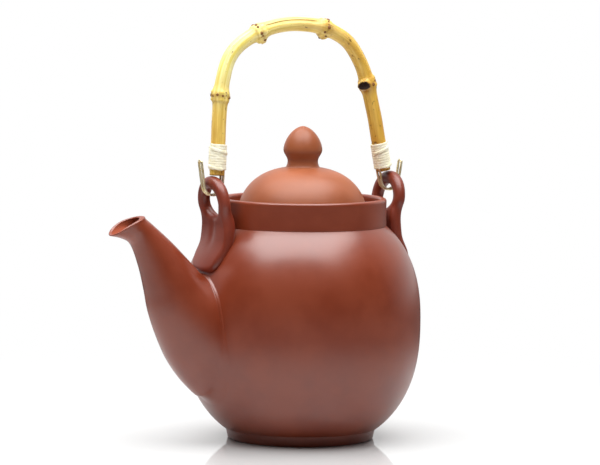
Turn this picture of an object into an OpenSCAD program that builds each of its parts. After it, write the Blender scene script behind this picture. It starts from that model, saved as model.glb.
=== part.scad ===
// Round clay teapot with a lift-off lid and a bamboo bail handle that swings in two lug rings.
// Millimetres, +Z up. The origin is the centre of the foot on the table.
// The spout points along -X, and the bail swings about the line through both lug rings, along X.

/* [Body] */
// Radius of the belly at its widest
belly_r = 68.8; // [62:0.5:76]
// Height of the widest part above the table
belly_z = 68; // [64:1:74]
// How far below the widest part the belly curve would close
lower_reach = 74; // [71:0.5:80]
// How far above the widest part the belly curve would close
upper_reach = 69.6; // [67:0.2:76]
// Squareness of the belly curve, where 2 is an ellipse
belly_power = 2.4; // [2.2:0.05:2.8]
// Thickness of the body's wall
wall = 4; // [3:0.25:5]
// Thickness of the floor
floor_t = 4.5; // [4:0.5:7]

/* [Foot] */
// Height of the foot ring
foot_h = 6; // [4:0.5:7]
// Step in from the body to the top of the foot ring
foot_step = 0.9; // [0.4:0.1:1.5]
// How much narrower the foot ring is at the table
foot_taper = 1.4; // [0.8:0.2:3]
// Width of the foot ring
foot_w = 7; // [5:0.5:10]

/* [Collar] */
// Height at which the collar stands on the shoulder
shoulder_z = 123; // [120:0.5:126]
// Height of the collar
collar_h = 16; // [12:0.5:20]
// Wall of the collar
collar_wall = 3.9; // [3:0.1:4.5]
// Radius of the round on the collar's lip
lip_round = 1.2; // [0.6:0.1:1.4]
// Width of the ledge inside the collar, which the lid rests on
ledge_w = 7.6; // [6:0.1:9]
// Thickness of that ledge
ledge_t = 4.5; // [3:0.5:6]

/* [Lid] */
// Gap between the lid's brim and the collar
brim_gap = 0.7; // [0.4:0.1:1.5]
// Thickness of the brim
brim_t = 2.5; // [2:0.25:3.5]
// Width of the flat brim round the dome
brim_w = 5.9; // [5:0.1:8]
// Height of the dome's curve above the ledge
dome_h = 34; // [28:0.5:40]
// Squareness of the dome's curve, where 2 is an ellipse
dome_power = 2.4; // [2:0.05:2.8]
// Thickness of the dome
dome_t = 4.4; // [3:0.2:5]
// Gap between the locating ring and the mouth
ring_gap = 0.8; // [0.4:0.1:1.5]
// Thickness of the locating ring
locating_t = 3; // [2:0.25:4]
// Depth of the locating ring below the ledge's top
locating_h = 8; // [5:0.5:12]
// Diameter of the steam vent
vent_d = 3; // [2:0.5:4]
// Height of the steam vent above the ledge
vent_rise = 21; // [16:1:24]

/* [Knob] */
// Largest radius of the knob
knob_r = 11.2; // [9:0.2:14]
// Height of the knob above the dome
knob_h = 23.7; // [20:0.1:28]
// Radius of the knob's waist
waist_r = 8.75; // [7:0.25:9]
// Height of the waist above the dome
waist_h = 3.6; // [2.5:0.1:4.5]
// Height of the knob's widest part above the dome
knob_wide_h = 10.1; // [8:0.1:12]
// Radius of the knob's foot on the dome
knob_foot_r = 9.8; // [9.2:0.2:12]
// Squareness of the knob's cap, where 2 is an ellipse
knob_power = 1.7; // [1.5:0.05:2.2]

/* [Spout] */
// Wall of the spout
spout_wall = 2.8; // [2:0.2:3.6]
// Half the length of the mouth, from its back to the tip of its beak
beak_half = 11.8; // [11:0.1:14]
// Half the width of the mouth
beak_half_w = 8.6; // [8.3:0.1:10.5]
// How far the mouth's sides rise above its back and its beak
beak_crown = 1.4; // [0:0.1:2]
// Distance of the mouth's centre outside the belly
beak_reach = 44.5; // [40:0.5:48]
// Height of the mouth's centre above the belly's widest part
beak_rise = 58.3; // [54:0.1:62]
// Slope of the mouth, down towards the beak, in degrees
beak_slope = 26; // [15:1:30]
// Radius of the spout's neck
neck_r = 8; // [7.5:0.1:9]
// Radius of the spout at its root
root_r = 25.5; // [22:0.5:27]
// Radius of the hole through the body's wall
spout_hole_r = 12; // [10:0.5:13]
// How far that hole's centre lies below the belly's widest part
spout_hole_drop = 6; // [2:1:10]

/* [Strainer] */
// Outer radius of the ball strainer
strainer_r = 15; // [14:0.5:16]
// Thickness of the strainer
strainer_t = 2.5; // [2:0.25:3]
// Diameter of its holes
strainer_hole_d = 3; // [2:0.25:3.5]

/* [Lugs] */
// Thickness of the clay strand round each lug's ring
strand_d = 7.5; // [6.5:0.1:8]
// Radius of the hole in the ring
ring_hole_r = 8.3; // [8:0.1:10]
// Distance from the collar out to the ring's centre
lug_stand_off = 9.3; // [9.3:0.1:12]
// How far the ring's centre lies below the collar's rim
ring_drop = 1.9; // [0:0.1:4]
// How far each ring leans outwards, in degrees
ring_lean = 5.5; // [2:0.5:7]
// Half thickness of the ring at its sides
ring_half_t = 3.2; // [2.9:0.05:3.3]
// Half thickness of the lug where it stands nearest the collar
lug_half_t = 3.7; // [3.4:0.1:4]
// How much each lug narrows between its ring and its tongue, on each side
lug_waist = 1.4; // [0:0.1:2]
// How far below the shoulder the lug's tongue reaches
tongue_drop = 24.2; // [20:0.2:28]

/* [Bail] */
// Radius of the bamboo in its legs
leg_r = 4.2; // [4:0.05:4.5]
// Radius of the bamboo at the top of the bail
top_r = 4.05; // [3.8:0.05:4.5]
// How far the joints of the bamboo stand proud
knot_rise = 1.2; // [0.6:0.05:1.4]
// Height of the bail's top above the swing axis, at the middle of the bamboo
bail_rise = 101.5; // [90:0.5:120]
// How far the spout's side leg ends inside the lug ring's centre
front_inset = 1.7; // [1.7:0.1:1.9]
// How far the other leg ends inside its lug ring's centre
rear_inset = 3.6; // [2.2:0.1:3.7]
// Lean of the leg on the spout's side, in degrees
front_lean = 1.5; // [0:0.5:6]
// Lean of the other leg, in degrees
rear_lean = 11.5; // [8:0.5:13]
// Length of the straight part of each leg
leg_straight = 20; // [19:0.5:24]
// Gap between the end of each leg and the lug ring
end_gap = 0.4; // [0.3:0.1:1]
// Radius of the sawn branch stub beside one joint of the bamboo
stub_r = 2.6; // [2:0.1:3]
// How far that stub stands proud of the joint
stub_rise = 1.4; // [0.6:0.1:2]

/* [Hooks] */
// Diameter of the brass wire
wire_d = 1.4; // [1.2:0.1:1.6]
// Distance between the two runs of the doubled wire
wire_pair = 3.3; // [3:0.1:3.6]
// Distance from the middle of the bamboo to the wires let into it
wire_inset = 3.2; // [3.1:0.05:3.5]
// Radius of the hook's bend
hook_r = 6; // [5.9:0.05:6.6]
// Height of the hook's lowest point above the ring's centre
hook_rise = 5; // [4:0.1:5.5]
// Length of the free end of the hook on the spout's side
front_tip = 13.2; // [9:0.2:16]
// Length of the other hook's free end
rear_tip = 10.4; // [9:0.2:16]
// Lean of the hook's free end, in degrees
tip_lean = 8; // [4:1:14]
// Clearance round each wire in its groove
groove_gap = 0.05; // [0.05:0.01:0.1]

/* [Bindings] */
// Diameter of the rattan strand
rattan_d = 0.85; // [0.7:0.05:0.95]
// Distance from one turn to the next
rattan_pitch = 1.45; // [1.4:0.05:1.8]
// Number of turns in each binding
turns = 10; // [4:1:10]
// Height of the first turn above the end of the leg on the spout's side
front_start = 2.9; // [1.5:0.1:3]
// Height of the first turn above the end of the other leg
rear_start = 1.7; // [1.5:0.1:3]
// Clearance between the strand and the wires under it
rattan_gap = 0.05; // [0.05:0.05:0.3]

/* [Hidden] */
$fn = 72;
front = -1;
rear = 1;
clay = "#8a4a38";
lid_clay = "#c27a5c";
bamboo = "#e2b955";
brass = "#d8c68c";
rattan = "#efe6bf";

// A curve between an ellipse and a box: its radius at the height dz above its widest part
function round_r(r, reach, power, dz) = r * pow(max(0, 1 - pow(abs(dz) / reach, power)), 1 / power);
function reach_at(z) = z < belly_z ? lower_reach : upper_reach;
function body_r(z) = round_r(belly_r, reach_at(z), belly_power, z - belly_z);
function cavity_r(z) = round_r(belly_r - wall, reach_at(z) - wall, belly_power, z - belly_z);

// Heights from low to high, closer together where the belly curves in
belly_steps = 36;
function belly_angle(z, inset) = asin((z - belly_z) / (reach_at(z) - inset));
function belly_height(a, inset) = belly_z + sin(a) * ((a < 0 ? lower_reach : upper_reach) - inset);
function belly_heights(low, high, inset) =
    let (a = belly_angle(low, inset), b = belly_angle(high, inset))
    [for (i = [0:belly_steps]) belly_height(a + (b - a) * i / belly_steps, inset)];

floor_z = foot_h + floor_t;
ledge_z = shoulder_z - ledge_t;
rim_z = shoulder_z + collar_h;
collar_r = body_r(shoulder_z);
collar_in_r = collar_r - collar_wall;
mouth_r = collar_in_r - ledge_w;
foot_r = body_r(foot_h) - foot_step;
spout_hole_z = belly_z - spout_hole_drop;

brim_r = collar_in_r - brim_gap;
dome_r = brim_r - brim_w;
locating_r = mouth_r - ring_gap;
locating_in_r = locating_r - locating_t;
hollow_step = 0.4;
dome_in_r = min(dome_r - dome_t, locating_in_r + hollow_step);
dome_in_h = dome_h - dome_t;
knob_seat = dome_h * pow(1 - pow(knob_foot_r / dome_r, dome_power), 1 / dome_power);
knob_z = shoulder_z + knob_seat;

strand_r = strand_d / 2;
ring_r = ring_hole_r + strand_r;
ring_x = collar_r + lug_stand_off;
ring_z = rim_z - ring_drop;
ring_top = ring_z + ring_r + strand_r;
tongue_z = shoulder_z - tongue_drop;

wire_r = wire_d / 2;
leg_z = ring_top + end_gap;
rattan_r = rattan_d / 2;
wires_proud_r = norm([wire_inset, wire_pair / 2]) + wire_r;
rattan_turn_r = max(wires_proud_r, leg_r) + rattan_gap + rattan_r;

// A point on the smooth curve through the points p, where t counts the points from 0
function along(p, t) =
    let (
        last = len(p) - 1,
        i = max(0, min(floor(t), last - 1)),
        f = t - i,
        a = p[max(i - 1, 0)],
        b = p[i],
        c = p[i + 1],
        d = p[min(i + 2, last)]
    )
    0.5 * (2 * b + (c - a) * f + (2 * a - 5 * b + 4 * c - d) * f * f + (3 * b - a - 3 * c + d) * f * f * f);

// The value at z on the smooth curve through keys of [height, value], from high to low
function key_index(keys, z, i = 0) =
    i >= len(keys) - 2 || z > keys[i + 1][0] ? i : key_index(keys, z, i + 1);
function key_value(keys, z) =
    let (i = key_index(keys, z), f = (keys[i][0] - z) / (keys[i][0] - keys[i + 1][0]))
    along(keys, i + f)[1];

// Triangles over n rings of m points each, closed to a ring of rings or left open at both ends
function ring_faces(n, m, closed) = [
    for (i = [0:(closed ? n : n - 1) - 1], j = [0:m - 1])
        let (a = i * m, b = (i + 1) % n * m, k = (j + 1) % m)
        each [[a + j, a + k, b + k], [a + j, b + k, b + j]]
];
function end_faces(n, m) = [
    for (j = [1:m - 2]) each [[0, j + 1, j], [(n - 1) * m, (n - 1) * m + j, (n - 1) * m + j + 1]]
];
module ring_solid(rings, closed) {
    n = len(rings);
    m = len(rings[0]);
    polyhedron(
        points = [for (r = rings) each r],
        faces = concat(ring_faces(n, m, closed), closed ? [] : end_faces(n, m)),
        convexity = 10
    );
}

// Body

function body_outline() = [for (z = belly_heights(foot_h, shoulder_z, 0)) [body_r(z), z]];
function cavity_outline() = [for (z = belly_heights(floor_z, ledge_z, wall)) [cavity_r(z), z]];
function reversed(p) = [for (i = [len(p) - 1:-1:0]) p[i]];

module body_solid() {
    rotate_extrude() polygon(concat(body_outline(), [[0, shoulder_z], [0, foot_h]]));
}

module cavity() {
    rotate_extrude() polygon(concat(cavity_outline(), [[0, ledge_z], [0, floor_z]]));
}

module body_shell() color(clay) difference() {
    rotate_extrude()
        polygon(concat(
            body_outline(),
            [[mouth_r, shoulder_z], [mouth_r, ledge_z]],
            reversed(cavity_outline()),
            [[0, floor_z], [0, foot_h]]
        ));
    translate([-belly_r, 0, spout_hole_z]) rotate([0, 90, 0])
        cylinder(r = spout_hole_r, h = 4 * wall, center = true);
}

module foot_ring() color(clay) rotate_extrude()
    polygon([
        [foot_r - foot_w, 0],
        [foot_r - foot_taper, 0],
        [foot_r, foot_h],
        [foot_r - foot_w - foot_taper, foot_h]
    ]);

module lip_corner(x) {
    translate([x, rim_z - lip_round]) circle(r = lip_round);
}

module neck_collar() color(clay) rotate_extrude() union() {
    translate([collar_in_r, shoulder_z]) square([collar_wall, collar_h - lip_round]);
    translate([collar_in_r + lip_round, rim_z - 2 * lip_round])
        square([collar_wall - 2 * lip_round, 2 * lip_round]);
    for (x = [collar_in_r + lip_round, collar_r - lip_round]) lip_corner(x);
}

// Spout
// Stations from the root to the mouth, each [distance outside the belly, height above its widest part,
// slope of the station's plane, half its length in that plane, half its width, rise of its sides]
spout_stations = [
    [-20, -22.4, -48, root_r * 1.01, root_r * 0.95, 0],
    [-11.2, -14, -43, root_r * 1.01, root_r * 0.95, 0],
    [-3.6, -4.3, -35.5, root_r * 0.99, root_r * 0.935, 0],
    [4.4, 8.2, -31.5, root_r * 0.91, root_r * 0.865, 0],
    [12.8, 18.6, -31.5, root_r * 0.736, root_r * 0.745, 0],
    [18.6, 28.5, -34, root_r * 0.606, root_r * 0.63, 0],
    [26.1, 41, -37, neck_r * 1.475, neck_r * 1.475, 0],
    [35, 52.9, -42, neck_r * 1.06, neck_r * 1.04, 0],
    [beak_reach - 3.9, beak_rise - 1.4, -beak_slope - 11, beak_half * 0.77, beak_half_w * 0.93, 0],
    [beak_reach, beak_rise, -beak_slope, beak_half, beak_half_w, beak_crown]
];
spout_rings = 27;
spout_sides = 28;
function spout_station(i) = along(spout_stations, i / spout_rings * (len(spout_stations) - 1));
function spout_ring(s, wall) = [
    for (j = [0:spout_sides - 1])
        let (
            a = 360 * j / spout_sides,
            u = (s[3] - wall) * cos(a),
            v = (s[4] - wall) * sin(a),
            rise = s[5] * pow(abs(sin(a)), 3)
        )
        [
            -(belly_r + s[0] + u * cos(s[2]) - rise * sin(s[2])),
            v,
            belly_z + s[1] + u * sin(s[2]) + rise * cos(s[2])
        ]
];

module spout() color(clay) difference() {
    ring_solid(concat(
        [for (i = [0:spout_rings]) spout_ring(spout_station(i), 0)],
        [for (i = [spout_rings:-1:0]) spout_ring(spout_station(i), spout_wall)]
    ), true);
    body_solid();
}

// Strainer

strainer_x = -cavity_r(spout_hole_z) - sqrt(pow(strainer_r - strainer_t, 2) - pow(spout_hole_r, 2));

// Each row of holes is [its angle from the ball's axis, its number of holes]
strainer_rows = [[0, 1], [23, 6], [46, 12]];
module strainer_hole(tilt, turn) {
    rotate([turn, 0, 0]) rotate([0, 90 - tilt, 0]) cylinder(d = strainer_hole_d, h = 2 * strainer_r);
}

module spout_strainer() color(clay) intersection() {
    cavity();
    translate([strainer_x, 0, spout_hole_z]) difference() {
        sphere(r = strainer_r);
        sphere(r = strainer_r - strainer_t);
        for (row = strainer_rows, i = [1:row[1]]) strainer_hole(row[0], 360 / row[1] * (i + 0.5));
    }
}

// Lugs
// Each is one piece of clay: a ring that leans outwards, over a tongue that lies on the shoulder

// Each key is a height and the middle of the clay there, as a distance from the pot's axis
waist_z = shoulder_z + 3;
neck_gap = 2.8;
ring_low_z = ring_z - 6;
ring_low_in = 1.5;
upper_tongue_z = shoulder_z - tongue_drop * 0.37;
lower_tongue_z = shoulder_z - tongue_drop * 0.72;
lug_line = [
    [ring_top, ring_x + (ring_top - ring_z) * tan(ring_lean)],
    [ring_z, ring_x],
    [ring_low_z, ring_x - ring_low_in],
    [waist_z, collar_r + lug_half_t + neck_gap],
    [upper_tongue_z, body_r(upper_tongue_z) + 0.2],
    [lower_tongue_z, body_r(lower_tongue_z) + 0.4],
    [tongue_z, body_r(tongue_z) + 0.6]
];
// Each key is a height and half the clay's thickness there
lug_thickness = [
    [ring_top, strand_r],
    [ring_z, ring_half_t],
    [waist_z, lug_half_t],
    [upper_tongue_z, lug_half_t - 0.6],
    [lower_tongue_z, lug_half_t - 1],
    [tongue_z, lug_half_t - 1.6]
];
lug_rays = 40;
lug_loop = 16;
lug_step = 0.1;
lug_half_w = ring_r + strand_r;
tongue_square = 4;
teardrop = 2;
function tongue_edge(x, y) = 1 / pow(pow(x, tongue_square) + pow(y, tongue_square), 1 / tongue_square);
waist_end = 0.87;
function waist_cut(down) = lug_waist * sin(180 * min(1, down / waist_end));
function lug_edge(a) = sin(a) >= 0 ? lug_half_w
    : tongue_edge(abs(cos(a)) / lug_half_w, -sin(a) / (ring_z - tongue_z)) - waist_cut(-sin(a));
function hole_edge(a) = sin(a) >= 0 ? ring_hole_r
    : 1 / norm([cos(a) / ring_hole_r, sin(a) / (ring_hole_r - teardrop)]);
// The ring is flat, and below it the clay bends more and more round the pot
wrap_top_z = ring_z - 3.5;
function wrap_share(z) =
    let (f = max(0, min(1, (wrap_top_z - z) / (wrap_top_z - tongue_z))))
    f * f * (3 - 2 * f);
function wrap_in(x, y, z) = wrap_share(z) * (x - sqrt(x * x - y * y));
// A point of the lug's skin: a is the direction from the ring's centre, b runs once round the strand
function lug_point(a, b) =
    let (
        inner = hole_edge(a),
        outer = lug_edge(a),
        out = inner + (outer - inner) * (1 - cos(b)) / 2,
        z = ring_z + out * sin(a),
        half = key_value(lug_thickness, z),
        edge = min(1, min(out - inner, outer - out) / half),
        h = half * sqrt(max(0, 1 - pow(1 - edge, 2))) * sign(sin(b)),
        slope = (key_value(lug_line, z + lug_step) - key_value(lug_line, z - lug_step)) / (2 * lug_step),
        n = [1, -slope] / norm([1, slope]),
        x = key_value(lug_line, z),
        y = out * cos(a)
    )
    [x - wrap_in(x, y, z) + h * n[0], y, z + h * n[1]];

module lug(side) {
    rings = [
        for (i = [0:lug_rays - 1]) [
            for (j = [0:lug_loop - 1]) lug_point(360 * i / lug_rays, 360 * j / lug_loop)
        ]
    ];
    mirror([side < 0 ? 1 : 0, 0, 0]) difference() {
        ring_solid(rings, true);
        body_solid();
    }
}

module front_lug() color(clay) lug(front);
module rear_lug() color(clay) lug(rear);

// Lid

outline_steps = 20;
function dome_point(r, h, a) = [round_r(r, h, dome_power, h * sin(a)), shoulder_z + h * sin(a)];
function dome_curve(r, h, low, high) = [
    for (i = [0:outline_steps]) dome_point(r, h, low + (high - low) * i / outline_steps)
];
function dome_outline() = dome_curve(dome_r, dome_h, asin(brim_t / dome_h), asin(knob_seat / dome_h));
function dome_hollow() = dome_curve(dome_in_r, dome_in_h, 0, 90);

module lid_dome() color(lid_clay) difference() {
    rotate_extrude()
        polygon(concat(
            [[dome_in_r, shoulder_z], [brim_r, shoulder_z], [brim_r, shoulder_z + brim_t]],
            dome_outline(),
            [[0, knob_z]],
            reversed([for (i = [1:outline_steps]) dome_hollow()[i]])
        ));
    translate([0, 0, shoulder_z + vent_rise]) rotate([0, 60, 0]) translate([0, 0, dome_r / 2])
        cylinder(d = vent_d, h = dome_r);
}

module lid_locating_ring() color(lid_clay) translate([0, 0, shoulder_z - locating_h]) rotate_extrude()
    translate([locating_in_r, 0]) square([locating_t, locating_h]);

function knob_flare(h) = h < waist_h
    ? waist_r + (knob_foot_r - waist_r) * pow(1 - h / waist_h, 2)
    : waist_r + (knob_r - waist_r) * (1 - cos(180 * (h - waist_h) / (knob_wide_h - waist_h))) / 2;
function knob_cap(h) = round_r(knob_r, knob_h - knob_wide_h, knob_power, h - knob_wide_h);
knob_steps = 12;
function knob_outline() = concat(
    [for (i = [0:knob_steps]) let (h = knob_wide_h * i / knob_steps) [knob_flare(h), knob_z + h]],
    [
        for (i = [1:knob_steps])
            let (h = knob_wide_h + (knob_h - knob_wide_h) * sin(90 * i / knob_steps))
            [knob_cap(h), knob_z + h]
    ]
);

module lid_knob() color(lid_clay) rotate_extrude() polygon(concat(knob_outline(), [[0, knob_z]]));

// Bail

function inset(side) = side < 0 ? front_inset : rear_inset;
function lean(side) = side < 0 ? front_lean : rear_lean;
function leg_end(side) = [side * (ring_x - inset(side)), leg_z];
function leg_top(side) = leg_end(side) + leg_straight * [-side * sin(lean(side)), cos(lean(side))];
bail_mid = (leg_end(front)[0] + leg_end(rear)[0]) / 2;
bail_half = (leg_end(rear)[0] - leg_end(front)[0]) / 2;
// The bend of the bamboo, from the spout's side: [across, up], as shares of half the span and of the rise
bend = [
    [-0.977, 0.521], [-0.94, 0.694], [-0.837, 0.836], [-0.621, 0.93], [-0.326, 0.988], [-0.015, 1],
    [0.283, 0.972], [0.545, 0.898], [0.7, 0.782], [0.785, 0.674], [0.852, 0.538]
];
bail_line = concat(
    [leg_end(front), leg_top(front)],
    [for (p = bend) [bail_mid + bail_half * p[0], ring_z + bail_rise * p[1]]],
    [leg_top(rear), leg_end(rear)]
);
bail_last = len(bail_line) - 1;
// The first and last stretches are straight, to carry the hooks and the bindings
function between(a, b, f) = a + (b - a) * f;
function bail_point(t) =
    t <= 1 ? between(bail_line[0], bail_line[1], t)
    : t >= bail_last - 1 ? between(bail_line[bail_last - 1], bail_line[bail_last], t - bail_last + 1)
    : along(bail_line, t);
way_step = 0.02;
function bail_way(t) =
    let (d = bail_point(min(t + way_step, bail_last)) - bail_point(max(t - way_step, 0)))
    d / norm(d);

function last(v) = v[len(v) - 1];
// The joints of the bamboo, as places on the bail's line, and how far each reaches along it
knots = [2.44, 5.35, 7.88, 11.1];
knot_reach = 0.2;
knot_places = [for (k = knots, f = [-1, -0.5, -0.2, 0.2, 0.5, 1]) k + f * knot_reach];
function near_knot(t) = min([for (k = knots) abs(t - k)]);
function knot_bump(t) =
    let (d = near_knot(t) / knot_reach)
    d >= 1 ? 0 : knot_rise * pow(cos(90 * d), 1.5);
function stem_r(t) =
    let (share = sin(180 * t / bail_last))
    leg_r + (top_r - leg_r) * share + knot_bump(t);
plain_step = 0.25;
plain_places = [for (t = [0:plain_step:bail_last]) if (near_knot(t) > knot_reach * 1.3) t];
function sorted(v) = len(v) < 2 ? v
    : let (
        p = v[floor(len(v) / 2)],
        low = [for (x = v) if (x < p) x],
        same = [for (x = v) if (x == p) x],
        high = [for (x = v) if (x > p) x]
    )
    concat(sorted(low), same, sorted(high));
stem_places = sorted(concat(plain_places, knot_places));
stem_sides = 16;
// The branch stub, on the last joint, turned from the inside of the bail towards -Y
stub_turn = -39;
stub_reach = knot_reach * 1.1;
function turn_between(a, b) = abs(((a - b + 540) % 360) - 180);
function stub_bump(t, a) =
    let (d = norm([(t - last(knots)) / stub_reach, turn_between(a, stub_turn) / asin(stub_r / leg_r)]))
    d >= 1 ? 0 : stub_rise * (1 - d * d);
function stem_ring(t) =
    let (c = bail_point(t), d = bail_way(t))
    [
        for (j = [0:stem_sides - 1])
            let (a = 360 * j / stem_sides, r = stem_r(t) + stub_bump(t, a), u = r * cos(a), v = r * sin(a))
            [c[0] + u * d[1], v, c[1] - u * d[0]]
    ];

module at_leg(side) {
    mirror([side < 0 ? 1 : 0, 0, 0])
        translate([abs(leg_end(side)[0]), 0, leg_z]) rotate([0, -lean(side), 0]) children();
}

function start(side) = side < 0 ? front_start : rear_start;
function groove_len(side) = start(side) + (turns + 1) * rattan_pitch;
tuck_depth = 1.5 * rattan_d;
tuck_r = rattan_r + groove_gap;
module tuck_hole(turn, height) {
    rotate([0, 0, turn]) translate([leg_r - tuck_depth, 0, height]) rotate([0, 90, 0])
        cylinder(r = tuck_r, h = 2 * tuck_depth);
}
module leg_cuts(side) {
    at_leg(side) {
        for (y = [-1, 1]) translate([-wire_inset, y * wire_pair / 2, -wire_d])
            cylinder(r = wire_r + groove_gap, h = groove_len(side) + wire_d);
        tuck_hole(first_turn, start(side));
        tuck_hole(first_turn, start(side) + turns * rattan_pitch);
    }
}

module bamboo_bail() color(bamboo) difference() {
    ring_solid([for (t = stem_places) stem_ring(t)], false);
    for (side = [front, rear]) leg_cuts(side);
}

// Hooks
// Each is one wire, doubled: from its two ends in the leg, round a bend under the ring, to a closed end
// that points outwards

wire_sides = 10;
bend_rings = 12;
loop_rings = 8;
function bend_drop(side) =
    (leg_z + (hook_r - wire_inset) * sin(lean(side)) - hook_r - ring_z - hook_rise) / cos(lean(side));
function hook_open(side) = lean(side) + tip_lean;
function tip_len(side) = side < 0 ? front_tip : rear_tip;
// The wire's run in the leg's own plane, as [place, way] pairs from its end in the leg to its free end
function hook_run(side) =
    let (drop = bend_drop(side), open = hook_open(side), out = [sin(open), cos(open)])
    concat(
        [[[-wire_inset, groove_len(side) - wire_r], [0, -1]]],
        [
            for (i = [0:bend_rings])
                let (a = 180 + (180 - open) * i / bend_rings)
                [[hook_r - wire_inset, -drop] + hook_r * [cos(a), sin(a)], [-sin(a), cos(a)]]
        ],
        [[[hook_r - wire_inset, -drop] + hook_r * [cos(open), -sin(open)] + tip_len(side) * out, out]]
    );
function wire_ring(c, u, v) = [
    for (j = [0:wire_sides - 1]) let (a = 360 * j / wire_sides) c + wire_r * (cos(a) * u + sin(a) * v)
];
function run_ring(p, y) =
    let (way = sign(y) * [p[1][0], 0, p[1][1]], u = [0, -sign(y), 0])
    wire_ring([p[0][0], y, p[0][1]], u, cross(-way, u));
function hook_rings(side) =
    let (
        run = hook_run(side),
        tip = run[len(run) - 1],
        out = [tip[1][0], 0, tip[1][1]],
        n = cross(out, [0, 1, 0]),
        y = wire_pair / 2
    )
    concat(
        [for (p = run) run_ring(p, -y)],
        [
            for (i = [1:loop_rings - 1])
                let (a = 180 * i / loop_rings, way = [0, sin(a), 0] + cos(a) * out)
                wire_ring([tip[0][0], -y * cos(a), tip[0][1]] + y * sin(a) * out, cross(n, way), n)
        ],
        [for (p = reversed(run)) run_ring(p, y)]
    );

module hook(side) {
    at_leg(side) ring_solid(hook_rings(side), false);
}

module front_hook() color(brass) hook(front);
module rear_hook() color(brass) hook(rear);

// Bindings
// One rattan strand each, wound up the leg, with both ends tucked square into the bamboo

first_turn = 20;
turn_rings = 24;
tuck_bend = rattan_r * 1.15;
tuck_run = rattan_d * 1.1;
bend_steps = 3;
function turn_point(a) = [
    rattan_turn_r * cos(first_turn + a),
    rattan_turn_r * sin(first_turn + a),
    rattan_pitch * a / 360
];
// The end bends from the turn's way to the radius, then runs straight in
// way is -1 at the first turn and 1 at the last
function tuck_point(way, height, s) =
    let (
        a = min(s, 1) * 90,
        along_turn = tuck_bend * sin(a),
        inward = tuck_bend * (1 - cos(a)) + max(0, s - 1) * tuck_run,
        r = rattan_turn_r - inward,
        t = way * (along_turn - tuck_bend)
    )
    [
        r * cos(first_turn) - t * sin(first_turn), r * sin(first_turn) + t * cos(first_turn), height
    ];
bend_turn = asin(tuck_bend / rattan_turn_r);
wound_rings = turns * turn_rings;
function strand_line() = concat(
    [for (s = [2, each [for (i = [bend_steps:-1:1]) i / bend_steps]]) tuck_point(-1, 0, s)],
    [for (i = [0:wound_rings]) turn_point(between(bend_turn, 360 * turns - bend_turn, i / wound_rings))],
    [for (s = [each [for (i = [1:bend_steps]) i / bend_steps], 2])
        tuck_point(1, turns * rattan_pitch, s)]
);
strand_sides = 6;
function unit(v) = v / norm(v);
function strand_ring(line, i) =
    let (
        c = line[i],
        d = unit(line[min(i + 1, len(line) - 1)] - line[max(i - 1, 0)]),
        u = unit(cross(d, [0, 0, 1])),
        v = cross(u, d)
    )
    [
        for (j = [0:strand_sides - 1])
            let (a = 360 * j / strand_sides)
            c + rattan_r * (cos(a) * u + sin(a) * v)
    ];

module binding(side) {
    line = strand_line();
    at_leg(side) translate([0, 0, start(side)])
        ring_solid([for (i = [0:len(line) - 1]) strand_ring(line, i)], false);
}

module front_binding() color(rattan) binding(front);
module rear_binding() color(rattan) binding(rear);

// The least gap of the strand to itself, between points more than a third of a turn apart
line_now = strand_line();
apart = 8;
self_gap = min([
    for (i = [0:len(line_now) - 1 - apart], j = [i + apart:min(len(line_now) - 1, i + 2 * turn_rings)])
        norm(line_now[i] - line_now[j])
]) - rattan_d;
echo(binding_gap_to_itself = self_gap);

body_shell();
foot_ring();
neck_collar();
spout();
spout_strainer();
front_lug();
rear_lug();
lid_dome();
lid_locating_ring();
lid_knob();
bamboo_bail();
front_hook();
rear_hook();
front_binding();
rear_binding();
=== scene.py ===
"""Looks of a round clay teapot with a bamboo bail handle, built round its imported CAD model.

Lengths in the tables below are millimetres. Every mesh is written in metres, in the model's own frame:
the origin is the centre of the foot on the table, the spout points along -X and +Z is up.
"""
import math

import bmesh
import bpy
import numpy as np
from mathutils import Matrix, Vector


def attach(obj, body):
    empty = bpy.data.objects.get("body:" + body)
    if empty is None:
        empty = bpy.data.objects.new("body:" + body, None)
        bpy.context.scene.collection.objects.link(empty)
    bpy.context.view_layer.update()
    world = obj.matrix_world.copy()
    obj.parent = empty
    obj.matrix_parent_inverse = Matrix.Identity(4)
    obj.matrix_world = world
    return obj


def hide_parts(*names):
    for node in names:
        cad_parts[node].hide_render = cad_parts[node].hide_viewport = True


MM = 0.001
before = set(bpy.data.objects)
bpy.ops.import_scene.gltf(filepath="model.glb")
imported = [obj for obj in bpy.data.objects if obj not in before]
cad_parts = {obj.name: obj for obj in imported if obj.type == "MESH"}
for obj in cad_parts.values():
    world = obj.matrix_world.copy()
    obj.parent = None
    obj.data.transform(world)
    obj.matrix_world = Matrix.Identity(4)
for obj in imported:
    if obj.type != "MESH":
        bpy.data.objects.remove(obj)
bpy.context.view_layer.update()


def in_scene(name, data):
    item = bpy.data.objects.new(name, data)
    bpy.context.scene.collection.objects.link(item)
    return item


# Camera: the photograph's angle, a long lens from about two metres

CAMERA_PLACE, CAMERA_TARGET = (-1.00425, -1.7394, 0.2927), (0, 0, 0.1187)
LENS_MM, SENSOR_MM, LENS_PIXELS = 210, 36, 3500
ASIDE_PIXELS, ROLL = 2.1, -0.55


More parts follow.
